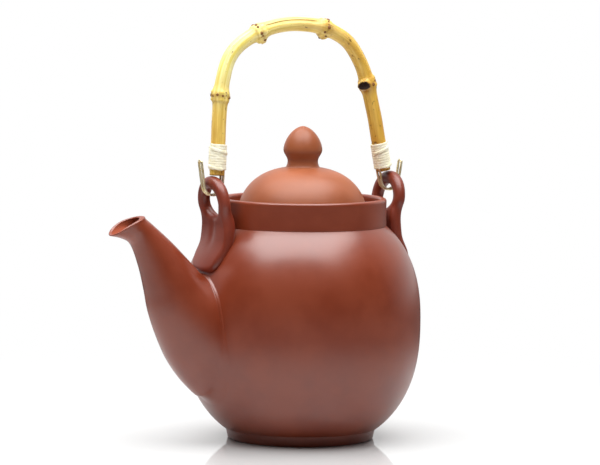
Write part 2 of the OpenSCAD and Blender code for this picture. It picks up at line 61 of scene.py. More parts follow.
def aim_camera():
    place, target = Vector(CAMERA_PLACE), Vector(CAMERA_TARGET)
    right = (target - place).cross(Vector((0, 0, 1))).normalized()
    aside = right * (target - place).length * ASIDE_PIXELS / LENS_PIXELS
    ahead = (target - aside - place).normalized()
    right = ahead.cross(Vector((0, 0, 1))).normalized()
    up = right.cross(ahead)
    cos, sin = math.cos(math.radians(ROLL)), math.sin(math.radians(ROLL))
    turn = Matrix((right * cos - up * sin, up * cos + right * sin, -ahead)).transposed()
    lens = bpy.data.cameras.new("camera")
    lens.sensor_width = SENSOR_MM
    lens.lens = LENS_MM
    lens.clip_end = 50
    camera = in_scene("camera", lens)
    camera.matrix_world = Matrix.Translation(place) @ turn.to_4x4()
    bpy.context.scene.camera = camera


aim_camera()


# Sizes of the pot, as the model has them

BELLY_R, BELLY_Z, BELLY_POWER = 68.8, 68, 2.4
LOWER_REACH, UPPER_REACH = 74, 69.6
WALL, FLOOR_T = 4, 4.5
FOOT_H, FOOT_STEP, FOOT_TAPER, FOOT_W = 6, 0.9, 1.4, 7
SHOULDER_Z, COLLAR_H, COLLAR_WALL, LIP_ROUND = 123, 16, 3.9, 1.2
LEDGE_W, LEDGE_T = 7.6, 4.5
BRIM_GAP, BRIM_T, BRIM_W = 0.7, 2.5, 5.9
DOME_H, DOME_POWER, DOME_T = 34, 2.4, 4.4
RING_GAP, LOCATING_T, HOLLOW_STEP = 0.8, 3, 0.4
VENT_D, VENT_RISE, VENT_TURN = 3, 21, 60
KNOB_R, KNOB_H, WAIST_R, WAIST_H = 11.2, 23.7, 8.75, 3.6
KNOB_WIDE_H, KNOB_FOOT_R, KNOB_POWER = 10.1, 9.8, 1.7
SPOUT_HOLE_R, SPOUT_HOLE_Z = 12, 62
# How far the foot and the collar run on into the body, and how finely each piece is turned
JOIN = 0.3
POT_SIDES, LID_SIDES, KNOB_SIDES = 240, 200, 128


def round_r(r, reach, power, dz):
    share = np.maximum(0, 1 - (np.abs(dz) / reach) ** power)
    return r * share ** (1 / power)


def belly_reach(z):
    return np.where(np.asarray(z) < BELLY_Z, LOWER_REACH, UPPER_REACH)


def body_r(z):
    return round_r(BELLY_R, belly_reach(z), BELLY_POWER, np.asarray(z) - BELLY_Z)


def cavity_r(z):
    return round_r(BELLY_R - WALL, belly_reach(z) - WALL, BELLY_POWER, np.asarray(z) - BELLY_Z)


COLLAR_R = float(body_r(SHOULDER_Z))
COLLAR_IN_R = COLLAR_R - COLLAR_WALL
MOUTH_R = COLLAR_IN_R - LEDGE_W
RIM_Z = SHOULDER_Z + COLLAR_H
FOOT_R = float(body_r(FOOT_H)) - FOOT_STEP
BRIM_R = COLLAR_IN_R - BRIM_GAP
DOME_R = BRIM_R - BRIM_W
DOME_IN_R = min(DOME_R - DOME_T, MOUTH_R - RING_GAP - LOCATING_T + HOLLOW_STEP)
KNOB_SEAT = DOME_H * (1 - (KNOB_FOOT_R / DOME_R) ** DOME_POWER) ** (1 / DOME_POWER)
KNOB_Z = SHOULDER_Z + KNOB_SEAT


# Meshes

def mesh_piece(name, points_mm, faces):
    mesh = bpy.data.meshes.new(name)
    mesh.from_pydata((np.asarray(points_mm, float) * MM).tolist(), [], faces)
    mesh.validate()
    mesh.shade_smooth()
    return in_scene(name, mesh)


def marked(piece, name, values):
    """Keeps a number or a vector for each point of the piece, for its tree or its material."""
    kind, key = ("FLOAT_VECTOR", "vector") if values.ndim == 2 else ("FLOAT", "value")
    field = piece.data.attributes.new(name, kind, "POINT")
    field.data.foreach_set(key, values.ravel().astype(np.float32))


def face_outwards(piece):
    """Turns the whole skin over if it encloses a negative volume."""
    shape = bmesh.new()
    shape.from_mesh(piece.data)
    if shape.calc_volume(signed=True) < 0:
        bmesh.ops.reverse_faces(shape, faces=shape.faces)
        shape.to_mesh(piece.data)
    shape.free()
    return piece


def loop_faces(rows, sides, closed):
    """Quads over rows of points that each run once round, closed to a ring of rows or open."""
    i = np.arange(rows if closed else rows - 1)[:, None]
    j = np.arange(sides)[None, :]
    a, b, k = i * sides, (i + 1) % rows * sides, (j + 1) % sides
    return np.stack([a + j, a + k, b + k, b + j], -1).reshape(-1, 4).tolist()


def along(points, t):
    """Smooth curve through the rows of points, where t counts the rows from 0."""
    points = np.asarray(points, float)
    t = np.asarray(t, float)
    last = len(points) - 1
    i = np.clip(np.floor(t), 0, last - 1).astype(int)
    f = (t - i)[..., None]
    a, b = points[np.maximum(i - 1, 0)], points[i]
    c, d = points[i + 1], points[np.minimum(i + 2, last)]
    bend, twist = 2 * a - 5 * b + 4 * c - d, 3 * b - a - 3 * c + d
    return 0.5 * (2 * b + (c - a) * f + bend * f**2 + twist * f**3)


def smooth_step(low, high, x):
    f = np.clip((np.asarray(x, float) - low) / (high - low), 0, 1)
    return f * f * (3 - 2 * f)


def hump(x, width, power=2):
    return np.exp(-((x / width) ** power))


def half_turned(angle):
    """The same angle between minus half a turn and half a turn."""
    return (angle + math.pi) % (2 * math.pi) - math.pi


def softened(outline, step=1.5, steps=6):
    """An outline of [radius, height, round] corners, with each corner rounded and long runs divided."""
    points = [np.array(p[:2], float) for p in outline]
    rounds = [p[2] if len(p) > 2 else 0 for p in outline]
    eased = []
    for i, (p, size) in enumerate(zip(points, rounds)):
        before, after = points[i - 1], points[(i + 1) % len(points)]
        if size <= 0 or i in (0, len(points) - 1):
            eased.append(p)
            continue
        back, on = before - p, after - p
        size = min(size, 0.48 * np.linalg.norm(back), 0.48 * np.linalg.norm(on))
        start = p + back / np.linalg.norm(back) * size
        end = p + on / np.linalg.norm(on) * size
        for t in np.linspace(0, 1, steps):
            eased.append((1 - t) ** 2 * start + 2 * t * (1 - t) * p + t * t * end)
    dense = [eased[0]]
    for p, q in zip(eased[:-1], eased[1:]):
        parts = max(1, math.ceil(np.linalg.norm(q - p) / step))
        dense += [p + (q - p) * k / parts for k in range(1, parts + 1)]
    return np.array(dense)


# Node trees

class Nodes:
    """A node tree, with short calls that add and link its nodes."""

    def __init__(self, tree):
        self.tree = tree

    def link(self, node, values):
        """Links or sets a node's inputs, named or numbered in values."""
        for key, value in values.items():
            socket = node.inputs[key]
            if isinstance(value, bpy.types.NodeSocket):
                self.tree.links.new(value, socket)
            else:
                socket.default_value = value

    def add(self, kind, values=None, **settings):
        node = self.tree.nodes.new(kind)
        for key, value in settings.items():
            setattr(node, key, value)
        self.link(node, values or {})
        return node

    def math(self, operation, *values):
        return self.add("ShaderNodeMath", dict(enumerate(values)), operation=operation).outputs[0]

    def plus(self, one, other):
        return self.math("ADD", one, other)

    def times(self, product, *values):
        for value in values:
            product = self.math("MULTIPLY", product, value)
        return product

    def vector(self, *parts):
        return self.add("ShaderNodeCombineXYZ", dict(enumerate(parts))).outputs[0]

    def parts(self, vector):
        return self.add("ShaderNodeSeparateXYZ", {0: vector}).outputs


class Shape(Nodes):
    """A Geometry Nodes tree with named inputs, finished by one material."""

    KINDS = {int: "NodeSocketInt", float: "NodeSocketFloat", bpy.types.Material: "NodeSocketMaterial"}

    def __init__(self, name, **inputs):
        super().__init__(bpy.data.node_groups.new(name, "GeometryNodeTree"))
        face = self.tree.interface
        face.new_socket("Geometry", in_out="INPUT", socket_type="NodeSocketGeometry")
        for label, kind in inputs.items():
            face.new_socket(label.replace("_", " "), in_out="INPUT", socket_type=self.KINDS[kind])
        face.new_socket("Geometry", in_out="OUTPUT", socket_type="NodeSocketGeometry")
        self.given = self.tree.nodes.new("NodeGroupInput").outputs

    def position(self):
        return self.add("GeometryNodeInputPosition").outputs[0]

    def moved(self, geometry, place):
        return self.add("GeometryNodeSetPosition", {"Geometry": geometry, "Position": place}).outputs[0]

    def stored(self, geometry, name, value, kind):
        values = {"Geometry": geometry, "Name": name, "Value": value}
        return self.add("GeometryNodeStoreNamedAttribute", values, data_type=kind, domain="POINT").outputs[0]

    def named(self, name, kind):
        return self.add("GeometryNodeInputNamedAttribute", {"Name": name}, data_type=kind).outputs[0]

    def swept(self, curve, section):
        values = {"Curve": curve, "Profile Curve": section, "Fill Caps": True}
        return self.add("GeometryNodeCurveToMesh", values).outputs[0]

    def finish(self, geometry, material):
        smooth = self.add("GeometryNodeSetShadeSmooth", {"Geometry": geometry})
        real = self.add("GeometryNodeRealizeInstances", {"Geometry": smooth.outputs[0]})
        coloured = self.add("GeometryNodeSetMaterial", {"Geometry": real.outputs[0], "Material": material})
        out = self.tree.nodes.new("NodeGroupOutput")
        self.tree.links.new(coloured.outputs[0], out.inputs[0])
        return self

    def make(self, piece, **values):
        """Runs the tree on the piece, and leaves its result there as a plain mesh."""
        step = piece.modifiers.new("shape", "NODES")
        step.node_group = self.tree
        for item in self.tree.interface.items_tree:
            label = item.name.replace(" ", "_")
            if item.in_out == "INPUT" and label in values:
                step[item.identifier] = values[label]
        return baked(piece)


def baked(piece):
    """The piece with its modifiers applied as a plain mesh."""
    bpy.context.view_layer.update()
    graph = bpy.context.evaluated_depsgraph_get()
    result = bpy.data.meshes.new_from_object(
        piece.evaluated_get(graph), preserve_all_data_layers=True, depsgraph=graph
    )
    piece.modifiers.clear()
    piece.data = result
    result.name = piece.name
    return piece


def line_piece(name, points_mm):
    """A bare line of points, for a tree to turn or sweep into a piece."""
    mesh = bpy.data.meshes.new(name)
    points = (np.asarray(points_mm, float) * MM).tolist()
    mesh.from_pydata(points, [(i, i + 1) for i in range(len(points) - 1)], [])
    return in_scene(name, mesh)


def turning_tree():
    """Turns an outline round the pot's axis, as on a wheel."""
    shape = Shape("turned piece", Sides=int, Material=bpy.types.Material)
    outline, sides, material = shape.given[:3]
    count = shape.add("GeometryNodeAttributeDomainSize", {"Geometry": outline}).outputs["Point Count"]
    grid = shape.add("GeometryNodeMeshGrid", {"Vertices X": shape.plus(sides, 1), "Vertices Y": count})
    index = shape.add("GeometryNodeInputIndex").outputs[0]
    row = shape.math("MODULO", index, count)
    column = shape.math("FLOOR", shape.math("DIVIDE", shape.plus(index, 0.5), count))
    sample = shape.add(
        "GeometryNodeSampleIndex",
        {"Geometry": outline, "Value": shape.position(), "Index": row},
        data_type="FLOAT_VECTOR",
        domain="POINT",
    )
    radius, _, height = shape.parts(sample.outputs[0])
    turn = shape.times(shape.math("DIVIDE", column, sides), 2 * math.pi)
    x, y = (shape.times(radius, shape.math(way, turn)) for way in ("COSINE", "SINE"))
    moved = shape.moved(grid.outputs[0], shape.vector(x, y, height))
    closed = shape.add("GeometryNodeMergeByDistance", {"Geometry": moved, "Distance": 2e-6})
    return shape.finish(closed.outputs[0], material)


def turned(tree, name, outline, sides, material):
    """outline is [radius, height] points, up the outside and down the inside."""
    line = line_piece(name, [(r, 0, z) for r, z in outline])
    return face_outwards(tree.make(line, Sides=sides, Material=material))


DRILL_SIDES, SHARP_ANGLE = 64, 40


def drilled(piece, radius, length, place, way):
    """Cuts a round hole through the piece. Its wall gets the piece's material and a sharp edge."""
    shape = bmesh.new()
    r = radius * MM
    bmesh.ops.create_cone(shape, cap_ends=True, segments=DRILL_SIDES, radius1=r, radius2=r, depth=length * MM)
    turn = Vector((0, 0, 1)).rotation_difference(Vector(way)).to_matrix()
    bmesh.ops.rotate(shape, verts=shape.verts, cent=(0, 0, 0), matrix=turn)
    bmesh.ops.translate(shape, verts=shape.verts, vec=Vector(place) * MM)
    mesh = bpy.data.meshes.new("drill")
    mesh.materials.append(piece.data.materials[-1])
    shape.to_mesh(mesh)
    shape.free()
    drill = in_scene("drill", mesh)
    cut = piece.modifiers.new("hole", "BOOLEAN")
    cut.operation = "DIFFERENCE"
    cut.solver = "EXACT"
    cut.object = drill
    baked(piece)
    piece.data.set_sharp_from_angle(angle=math.radians(SHARP_ANGLE))
    bpy.data.objects.remove(drill)
    return piece


# Materials

def paint(code):
    """A colour written as on a screen, in the renderer's own scale."""
    parts = [int(code[i : i + 2], 16) / 255 for i in (1, 3, 5)]
    return tuple(c / 12.92 if c <= 0.04045 else ((c + 0.055) / 1.055) ** 2.4 for c in parts) + (1,)


class Finish(Nodes):
    """A material's nodes, round one Principled shader."""

    def __init__(self, name):
        self.material = bpy.data.materials.new(name)
        self.material.use_nodes = True
        super().__init__(self.material.node_tree)
        self.shader = self.tree.nodes["Principled BSDF"]
        self.place = self.add("ShaderNodeTexCoord").outputs["Object"]

    def stretched(self, scale, vector=None):
        return self.add("ShaderNodeMapping", {"Vector": vector or self.place, "Scale": scale}).outputs[0]

    def noise(self, size_mm, detail=2.0, vector=None, rough=0.5):
        values = {"Vector": vector or self.place, "Scale": 1000 / size_mm, "Detail": detail, "Roughness": rough}
        return self.add("ShaderNodeTexNoise", values).outputs["Fac"]

    def attribute(self, name, output="Fac"):
        return self.add("ShaderNodeAttribute", attribute_name=name).outputs[output]

    def fitted(self, value, low, high, to_low=0.0, to_high=1.0):
        values = {"Value": value, 1: low, 2: high, 3: to_low, 4: to_high}
        return self.add("ShaderNodeMapRange", values, interpolation_type="SMOOTHSTEP").outputs[0]

    def mixed(self, share, first, second):
        """Two colours, each a socket or written as on a screen."""
        first, second = (paint(c) if isinstance(c, str) else c for c in (first, second))
        return self.add("ShaderNodeMix", {0: share, 6: first, 7: second}, data_type="RGBA").outputs[2]

    def tinted(self, colour, mask, low, high, share, tint):
        """The colour, with a share of tint where the mask is high."""
        return self.mixed(self.fitted(mask, low, high, 0, share), colour, tint)

    def bump(self, *layers):
        """Each layer is (height, depth in millimetres, strength)."""
        normal = None
        for height, depth, strength in layers:
            values = {"Height": height, "Distance": depth * MM, "Strength": strength}
            if normal is not None:
                values["Normal"] = normal
            normal = self.add("ShaderNodeBump", values).outputs[0]
        self.tree.links.new(normal, self.shader.inputs["Normal"])

    def set(self, **values):
        self.link(self.shader, {key.replace("_", " "): value for key, value in values.items()})


UNRUBBED_CLAY = "#83402a"


def burnished_clay(name, colour, deep, pale, rough=(0.29, 0.36), gloss=0.76):
    """Unglazed clay, rubbed smooth on the wheel: cloudy colour, fine grains and faint turning lines."""
    finish = Finish(name)
    cloud = finish.noise(26, 3, rough=0.6)
    grain = finish.noise(0.55, 2)
    lines = finish.noise(1.1, 3, finish.stretched((0.02, 0.02, 1)))
    body = finish.mixed(finish.fitted(cloud, 0.3, 0.72), deep, colour)
    body = finish.tinted(body, grain, 0.64, 0.8, 0.35, pale)
    body = finish.tinted(body, lines, 0.35, 0.75, 0.12, deep)
    # The inside of a spout can't be rubbed, so it stays dull
    inside = finish.attribute("inside")
    unrubbed = finish.times(inside, 0.8)
    body = finish.mixed(unrubbed, body, UNRUBBED_CLAY)
    dull = finish.fitted(inside, 0, 1, gloss, 0.12)
    shine = finish.math("MAXIMUM", finish.fitted(cloud, 0.3, 0.7, *rough), unrubbed)
    finish.set(Base_Color=body, Roughness=shine, Specular_IOR_Level=dull)
    finish.bump((lines, 0.05, 0.12), (grain, 0.04, 0.1), (finish.noise(9, 2), 0.25, 0.12))
    return finish.material


POT_CLAY = burnished_clay("burnished pot clay", "#82371d", "#772f18", "#9e5235")
LUG_CLAY = burnished_clay("hand-rolled lug clay", "#7f311d", "#702916", "#975038", (0.36, 0.43), 0.6)
LID_CLAY = burnished_clay("burnished lid clay", "#9c5633", "#8f4c2b", "#b0714d", (0.4, 0.47), 0.44)


def bamboo_skin():
    """Dried bamboo: streaks along the stem, more golden along some stretches than others, brown spots and marks, a
    near-black sawn stub, and painted shade in the stub's hollow and along the bud's groove.
    """
    finish = Finish("varnished bamboo")
    stem = finish.attribute("straight", "Vector")
    gold_tone = finish.attribute("gold_tone")
    joint = finish.attribute("joint")
    scar_and_hollow_shade = finish.attribute("scar_and_hollow_shade")
    streaks = finish.noise(1.6, 3, finish.stretched((1, 1, 0.05), stem))
    fine = finish.noise(0.5, 2, finish.stretched((1, 1, 0.02), stem))
    patches = finish.noise(9, 3, finish.stretched((1, 1, 0.35), stem), rough=0.6)
    spots = finish.noise(1.5, 2, finish.stretched((1, 1, 0.45), stem))
    darker = finish.mixed(gold_tone, "#e6d86c", "#d39a26")
    lighter = finish.mixed(gold_tone, "#fcf6b4", "#f3c440")
    colour = finish.mixed(finish.fitted(streaks, 0.3, 0.7), darker, lighter)
    colour = finish.tinted(colour, fine, 0.5, 0.75, 0.3, "#c2922f")
    colour = finish.tinted(colour, finish.plus(finish.times(gold_tone, 0.5), patches), 0.65, 1.1, 0.6, "#bb7c22")
    colour = finish.tinted(colour, finish.plus(spots, finish.times(gold_tone, 0.07)), 0.69, 0.78, 0.8, "#6d4218")
    # Brown at the joints, the sawn ends and round the stub, and painted shade along the edges of the bud's groove
    colour = finish.mixed(joint, colour, "#93601f")
    # Near-black on the stub: the cut's own dark wood, with painted shade of its hollow
    colour = finish.mixed(scar_and_hollow_shade, colour, "#2b1408")
    shine = finish.fitted(patches, 0.3, 0.7, 0.34, 0.48)
    finish.set(Base_Color=colour, Roughness=finish.math("MAXIMUM", shine, finish.times(scar_and_hollow_shade, 0.85)))
    finish.bump((fine, 0.06, 0.25), (spots, 0.1, 0.2), (patches, 0.3, 0.15))
    return finish.material


def dark_bud():
    finish = Finish("dark root bud")
    grain = finish.noise(0.4)
    finish.set(Base_Color=finish.mixed(grain, "#5a3010", "#94601f"), Roughness=0.6)
    finish.bump((grain, 0.05, 0.3))
    return finish.material


def split_cane():
    """Pale cane, split into a flat strand: fibres along it, with faint darker patches."""
    finish = Finish("split cane")
    strand = finish.attribute("strand", "Vector")
    fibres = finish.noise(0.22, 3, finish.stretched((0.04, 1, 1), strand))
    patches = finish.noise(4, 2, strand)
    colour = finish.mixed(finish.fitted(fibres, 0.3, 0.7), "#f0e6bf", "#fdf9e6")
    colour = finish.tinted(colour, patches, 0.5, 0.8, 0.3, "#e2d09a")
    finish.set(Base_Color=colour, Roughness=0.55)
    finish.bump((fibres, 0.06, 0.4))
    return finish.material


def brass_wire():
    finish = Finish("pale brass wire")
    tarnish = finish.noise(3, 3)
    scratches = finish.noise(0.5, 2)
    colour = finish.mixed(finish.fitted(tarnish, 0.4, 0.75), "#f8eeca", "#dcc487")
    finish.set(Base_Color=colour, Metallic=0.72, Roughness=finish.fitted(scratches, 0.3, 0.7, 0.3, 0.42))
    finish.bump((scratches, 0.02, 0.15))
    return finish.material


BAMBOO = bamboo_skin()
BUD = dark_bud()
CANE = split_cane()
BRASS = brass_wire()


# Body, foot and collar

def belly_points(low, high, radius_at, inset, count):
    a, b = (math.asin((z - BELLY_Z) / (float(belly_reach(z)) - inset)) for z in (low, high))
    turns = np.linspace(a, b, count)
    heights = BELLY_Z + np.sin(turns) * (np.where(turns < 0, LOWER_REACH, UPPER_REACH) - inset)
    return [(float(radius_at(z)), float(z)) for z in heights]


def pot_body(tree):
    floor_z, ledge_z = FOOT_H + FLOOR_T, SHOULDER_Z - LEDGE_T
    outside = belly_points(FOOT_H, SHOULDER_Z, body_r, 0, 120)
    inside = belly_points(floor_z, ledge_z, cavity_r, WALL, 90)[::-1]
    outline = [
        (FOOT_R - FOOT_W, FOOT_H),
        (*outside[0], 0.5),
        *outside[1:],
        (MOUTH_R, SHOULDER_Z, 0.7),
        (MOUTH_R, ledge_z, 1.2),
        (inside[0][0], inside[0][1], 2),
        *inside[1:-1],
        (inside[-1][0], inside[-1][1], 3),
        (0, floor_z),
        (0, FOOT_H),
        (FOOT_R - FOOT_W, FOOT_H),
    ]
    piece = turned(tree, "pot_body", softened(outline), POT_SIDES, POT_CLAY)
    drilled(piece, SPOUT_HOLE_R, 4 * WALL, (-BELLY_R, 0, SPOUT_HOLE_Z), (1, 0, 0))
    return piece


def pot_foot(tree):
    inner = FOOT_R - FOOT_W
    outline = [
        (inner - FOOT_TAPER, FOOT_H + JOIN),
        (inner, 0, 1.2),
        (FOOT_R - FOOT_TAPER, 0, 1),
        (FOOT_R, FOOT_H, 0.3),
        (FOOT_R, FOOT_H + JOIN),
        (inner - FOOT_TAPER, FOOT_H + JOIN),
    ]
    return turned(tree, "pot_foot", softened(outline, 0.8), POT_SIDES, POT_CLAY)


def pot_collar(tree):
    outline = [
        (COLLAR_IN_R, SHOULDER_Z - JOIN),
        (COLLAR_R, SHOULDER_Z - JOIN),
        (COLLAR_R, SHOULDER_Z + 0.4),
        (COLLAR_R - 0.1, SHOULDER_Z + 5),
        (COLLAR_R - 0.1, RIM_Z - 5),
        (COLLAR_R, RIM_Z, 1.5 * LIP_ROUND),
        (COLLAR_IN_R, RIM_Z, 1.5 * LIP_ROUND),
        (COLLAR_IN_R, SHOULDER_Z - JOIN),
    ]
    return turned(tree, "pot_collar", softened(outline, 0.8, 9), POT_SIDES, POT_CLAY)


# Spout

ROOT_R, NECK_R, BEAK_HALF, BEAK_HALF_W, BEAK_CROWN = 25.5, 8, 11.8, 8.6, 1.4
BEAK_REACH, BEAK_RISE, BEAK_SLOPE = 44.5, 58.3, 26
SPOUT_WALL, LIP_WALL = 2.8, 1.8
# [distance outside the belly, height above its widest part, slope, half length, half width, rise of the sides]
SPOUT_STATIONS = [
    [-20, -22.4, -48, ROOT_R * 1.01, ROOT_R * 0.95, 0],
    [-11.2, -14, -43, ROOT_R * 1.01, ROOT_R * 0.95, 0],
    [-3.6, -4.3, -35.5, ROOT_R * 0.99, ROOT_R * 0.935, 0],
    [4.4, 8.2, -31.5, ROOT_R * 0.91, ROOT_R * 0.865, 0],
    [12.8, 18.6, -31.5, ROOT_R * 0.736, ROOT_R * 0.745, 0],
    [18.6, 28.5, -34, ROOT_R * 0.606, ROOT_R * 0.63, 0],
    [26.1, 41, -37, NECK_R * 1.475, NECK_R * 1.475, 0],
    [35, 52.9, -42, NECK_R * 1.06, NECK_R * 1.04, 0],
    [BEAK_REACH - 3.9, BEAK_RISE - 1.4, -BEAK_SLOPE - 11, BEAK_HALF * 0.77, BEAK_HALF_W * 0.93, 0],
    [BEAK_REACH, BEAK_RISE, -BEAK_SLOPE, BEAK_HALF, BEAK_HALF_W, BEAK_CROWN],
]
SPOUT_END, ROOT_RUN = 8.9, 12
SPOUT_SIDES, INNER_ROWS, OUTER_ROWS, JOINT_ROWS = 112, 60, 96, 20
# The clay smeared from the spout over the belly: its width and the bead that it leaves
SMEAR, SMEAR_BELOW, SMEAR_SUNK = 2.1, 5, 0.12
BEAD, BEAD_PLACE, BEAD_WIDTH = 0.55, 0.62, 0.27
BACK_RIM, SCOOP = 1.5, 4.2


def spout_point(t, turn, wall, fill=0):
    """A point of the spout's skin. Below station 0 the skin runs straight on into the body.

    fill moves the side towards the beak inwards, by millimetres.
    """
    t, turn = np.broadcast_arrays(np.asarray(t, float), np.asarray(turn, float))
    s = along(SPOUT_STATIONS, np.maximum(t, 0))
    out = s[..., 0] + np.minimum(t, 0) * ROOT_RUN
    u = (s[..., 3] - wall) * np.cos(turn) - fill * np.maximum(0, np.cos(turn)) ** 0.7
    v = (s[..., 4] - wall) * np.sin(turn)
    rise = s[..., 5] * np.abs(np.sin(turn)) ** 3
    slope = np.radians(s[..., 2])
    out = out + u * np.cos(slope) - rise * np.sin(slope)
    height = BELLY_Z + s[..., 1] + u * np.sin(slope) + rise * np.cos(slope)
    return np.stack([-(BELLY_R + out), v, height], -1)


def set_on_body(p, gap, least=-math.inf):
    """Points moved square to the axis, to lie at gap from the belly's skin, but at least by a share."""
    scale = np.maximum(least, (body_r(p[..., 2]) + gap) / np.hypot(p[..., 0], p[..., 1]))
    return np.stack([p[..., 0] * scale, p[..., 1] * scale, p[..., 2]], -1)


def body_normal(p):
    r = np.hypot(p[..., 0], p[..., 1])
    slope = (body_r(p[..., 2] + 0.1) - body_r(p[..., 2] - 0.1)) / 0.2
    n = np.stack([p[..., 0] / r, p[..., 1] / r, -slope], -1)
    return n / np.linalg.norm(n, axis=-1, keepdims=True)


def meeting_place(turn, wall):
    """For each direction, the station at which the spout's skin enters the belly."""
    t = np.linspace(SPOUT_END, -2, 2000)
    p = spout_point(t[:, None], turn[None, :], wall)
    inside = np.hypot(p[..., 0], p[..., 1]) < body_r(p[..., 2])
    return t[inside.argmax(0)]


def pot_spout():
    turn = np.linspace(0, 2 * math.pi, SPOUT_SIDES, endpoint=False)
    meet = meeting_place(turn, 0)
    corner = set_on_body(spout_point(meet, turn, 0), 0)
    # The joint is crisp above and smeared wide below
    spread = SMEAR + SMEAR_BELOW * (1 - smooth_step(44, 70, corner[:, 2]))
    fine = np.linspace(0, 1, 400)[:, None]
    t_all = meet[None, :] + (SPOUT_END - meet)[None, :] * fine
    path = spout_point(t_all, turn[None, :], 0)
    steps = np.linalg.norm(np.diff(path, axis=0), axis=2)
    run = np.vstack([np.zeros(SPOUT_SIDES), np.cumsum(steps, axis=0)])
    leave = np.array([np.interp(spread[j], run[:, j], t_all[:, j]) for j in range(SPOUT_SIDES)])
    tangent = np.roll(corner, -1, 0) - np.roll(corner, 1, 0)
    away = np.cross(tangent, body_normal(corner))
    away /= np.linalg.norm(away, axis=1, keepdims=True)
    away *= np.sign(((corner - corner.mean(0)) * away).sum(1))[:, None]
    landing = set_on_body(corner + away * spread[:, None], -SMEAR_SUNK)
    start = spout_point(leave, turn, 0)
    rows = []
    # The rim is thick at its back and thin at the beak
    lip = LIP_WALL + BACK_RIM * np.maximum(0, -np.cos(turn)) ** 2
    inner_meet = meeting_place(turn, SPOUT_WALL)
    for i in range(INNER_ROWS):
        t = inner_meet + (SPOUT_END - inner_meet) * i / (INNER_ROWS - 1)
        wall = SPOUT_WALL + (lip - SPOUT_WALL) * smooth_step(7.6, SPOUT_END, t)
        # The beak is a shallow scoop in front of a narrow throat
        fill = SCOOP * smooth_step(6.8, 7.9, t) * (1 - smooth_step(8.1, SPOUT_END, t))
        p = spout_point(t, turn, wall, fill)
        rows.append(set_on_body(p, -1) if i == 0 else p)
    ahead = spout_point(SPOUT_END, turn, 0) - spout_point(SPOUT_END - 0.05, turn, 0)
    ahead = ahead.mean(0) / np.linalg.norm(ahead.mean(0))
    outer, inner = spout_point(SPOUT_END, turn, 0), rows[-1]
    for k in range(1, 10):
        a = math.pi * k / 10
        edge = (inner + outer) / 2 + (inner - outer) / 2 * math.cos(a)
        rows.append(edge + ahead * lip[:, None] / 2 * math.sin(a))
    for i in range(OUTER_ROWS):
        share = i / (OUTER_ROWS - 1)
        rows.append(spout_point(SPOUT_END + (leave - SPOUT_END) * share, turn, 0))
    bead = BEAD * smooth_step(38, 68, corner[:, 2])[:, None]
    for k in range(1, JOINT_ROWS + 1):
        f = k / JOINT_ROWS
        p = (1 - f) ** 2 * start + 2 * f * (1 - f) * corner + f * f * landing
        p = set_on_body(p, 0.1 * (1 - f) ** 2 - SMEAR_SUNK * f**4, least=1)
        rows.append(p + body_normal(p) * bead * hump(f - BEAD_PLACE, BEAD_WIDTH) * (1 - f**4))
    piece = mesh_piece("pot_spout", np.concatenate(rows), loop_faces(len(rows), SPOUT_SIDES, True))
    inside = np.interp(np.arange(len(rows)), [INNER_ROWS - 1, INNER_ROWS + 1], [1, 0])
    marked(piece, "inside", np.repeat(inside, SPOUT_SIDES))
    piece.data.materials.append(POT_CLAY)
    return face_outwards(piece)


# Lugs

STRAND_R, RING_HOLE_R = 3.75, 8.3
LUG_STAND_OFF, RING_DROP, RING_LEAN = 9.3, 1.9, 5.5
RING_HALF_T, LUG_HALF_T, LUG_WAIST, TONGUE_DROP = 3.2, 3.7, 1.4, 24.2
LUG_RAYS, LUG_LOOP, TONGUE_POWER = 160, 44, 4.8
VALLEY, VALLEY_W = 0.7, 2.6
RING_R = RING_HOLE_R + STRAND_R
RING_X = COLLAR_R + LUG_STAND_OFF
RING_Z = RIM_Z - RING_DROP
RING_TOP = RING_Z + RING_R + STRAND_R
TONGUE_Z = SHOULDER_Z - TONGUE_DROP
WAIST_Z = SHOULDER_Z + 3
UPPER_TONGUE_Z = SHOULDER_Z - TONGUE_DROP * 0.37
LOWER_TONGUE_Z = SHOULDER_Z - TONGUE_DROP * 0.72
LUG_HALF_W = RING_R + STRAND_R
WRAP_TOP_Z = RING_Z - 3.5
LUG_LINE = [
    [RING_TOP, RING_X + (RING_TOP - RING_Z) * math.tan(math.radians(RING_LEAN))],
    [RING_Z, RING_X],
    [RING_Z - 6, RING_X - 1.5],
    [WAIST_Z, COLLAR_R + LUG_HALF_T + 2.8],
    [UPPER_TONGUE_Z, float(body_r(UPPER_TONGUE_Z)) + 0.5],
    [LOWER_TONGUE_Z, float(body_r(LOWER_TONGUE_Z)) + 0.8],
    [TONGUE_Z, float(body_r(TONGUE_Z)) + 1.0],
]
LUG_THICKNESS = [
    [RING_TOP, STRAND_R],
    [RING_Z, RING_HALF_T],
    [WAIST_Z, LUG_HALF_T],
    [UPPER_TONGUE_Z, LUG_HALF_T - 0.6],
    [LOWER_TONGUE_Z, LUG_HALF_T - 1],
    [TONGUE_Z, LUG_HALF_T - 1.6],
]


def key_value(keys, z):
    keys = np.asarray(keys, float)
    i = np.clip((z[..., None] <= keys[1:-1, 0]).sum(-1), 0, len(keys) - 2)
    f = (keys[i, 0] - z) / (keys[i, 0] - keys[i + 1, 0])
    return along(keys, i + f)[..., 1]


def lug_line(z):
    """How far out the lug's middle lies at a height, eased between the keys."""
    heights = (np.minimum(z + rise, RING_TOP) for rise in np.linspace(-3, 3, 7))
    return np.mean([key_value(LUG_LINE, height) for height in heights], axis=0)


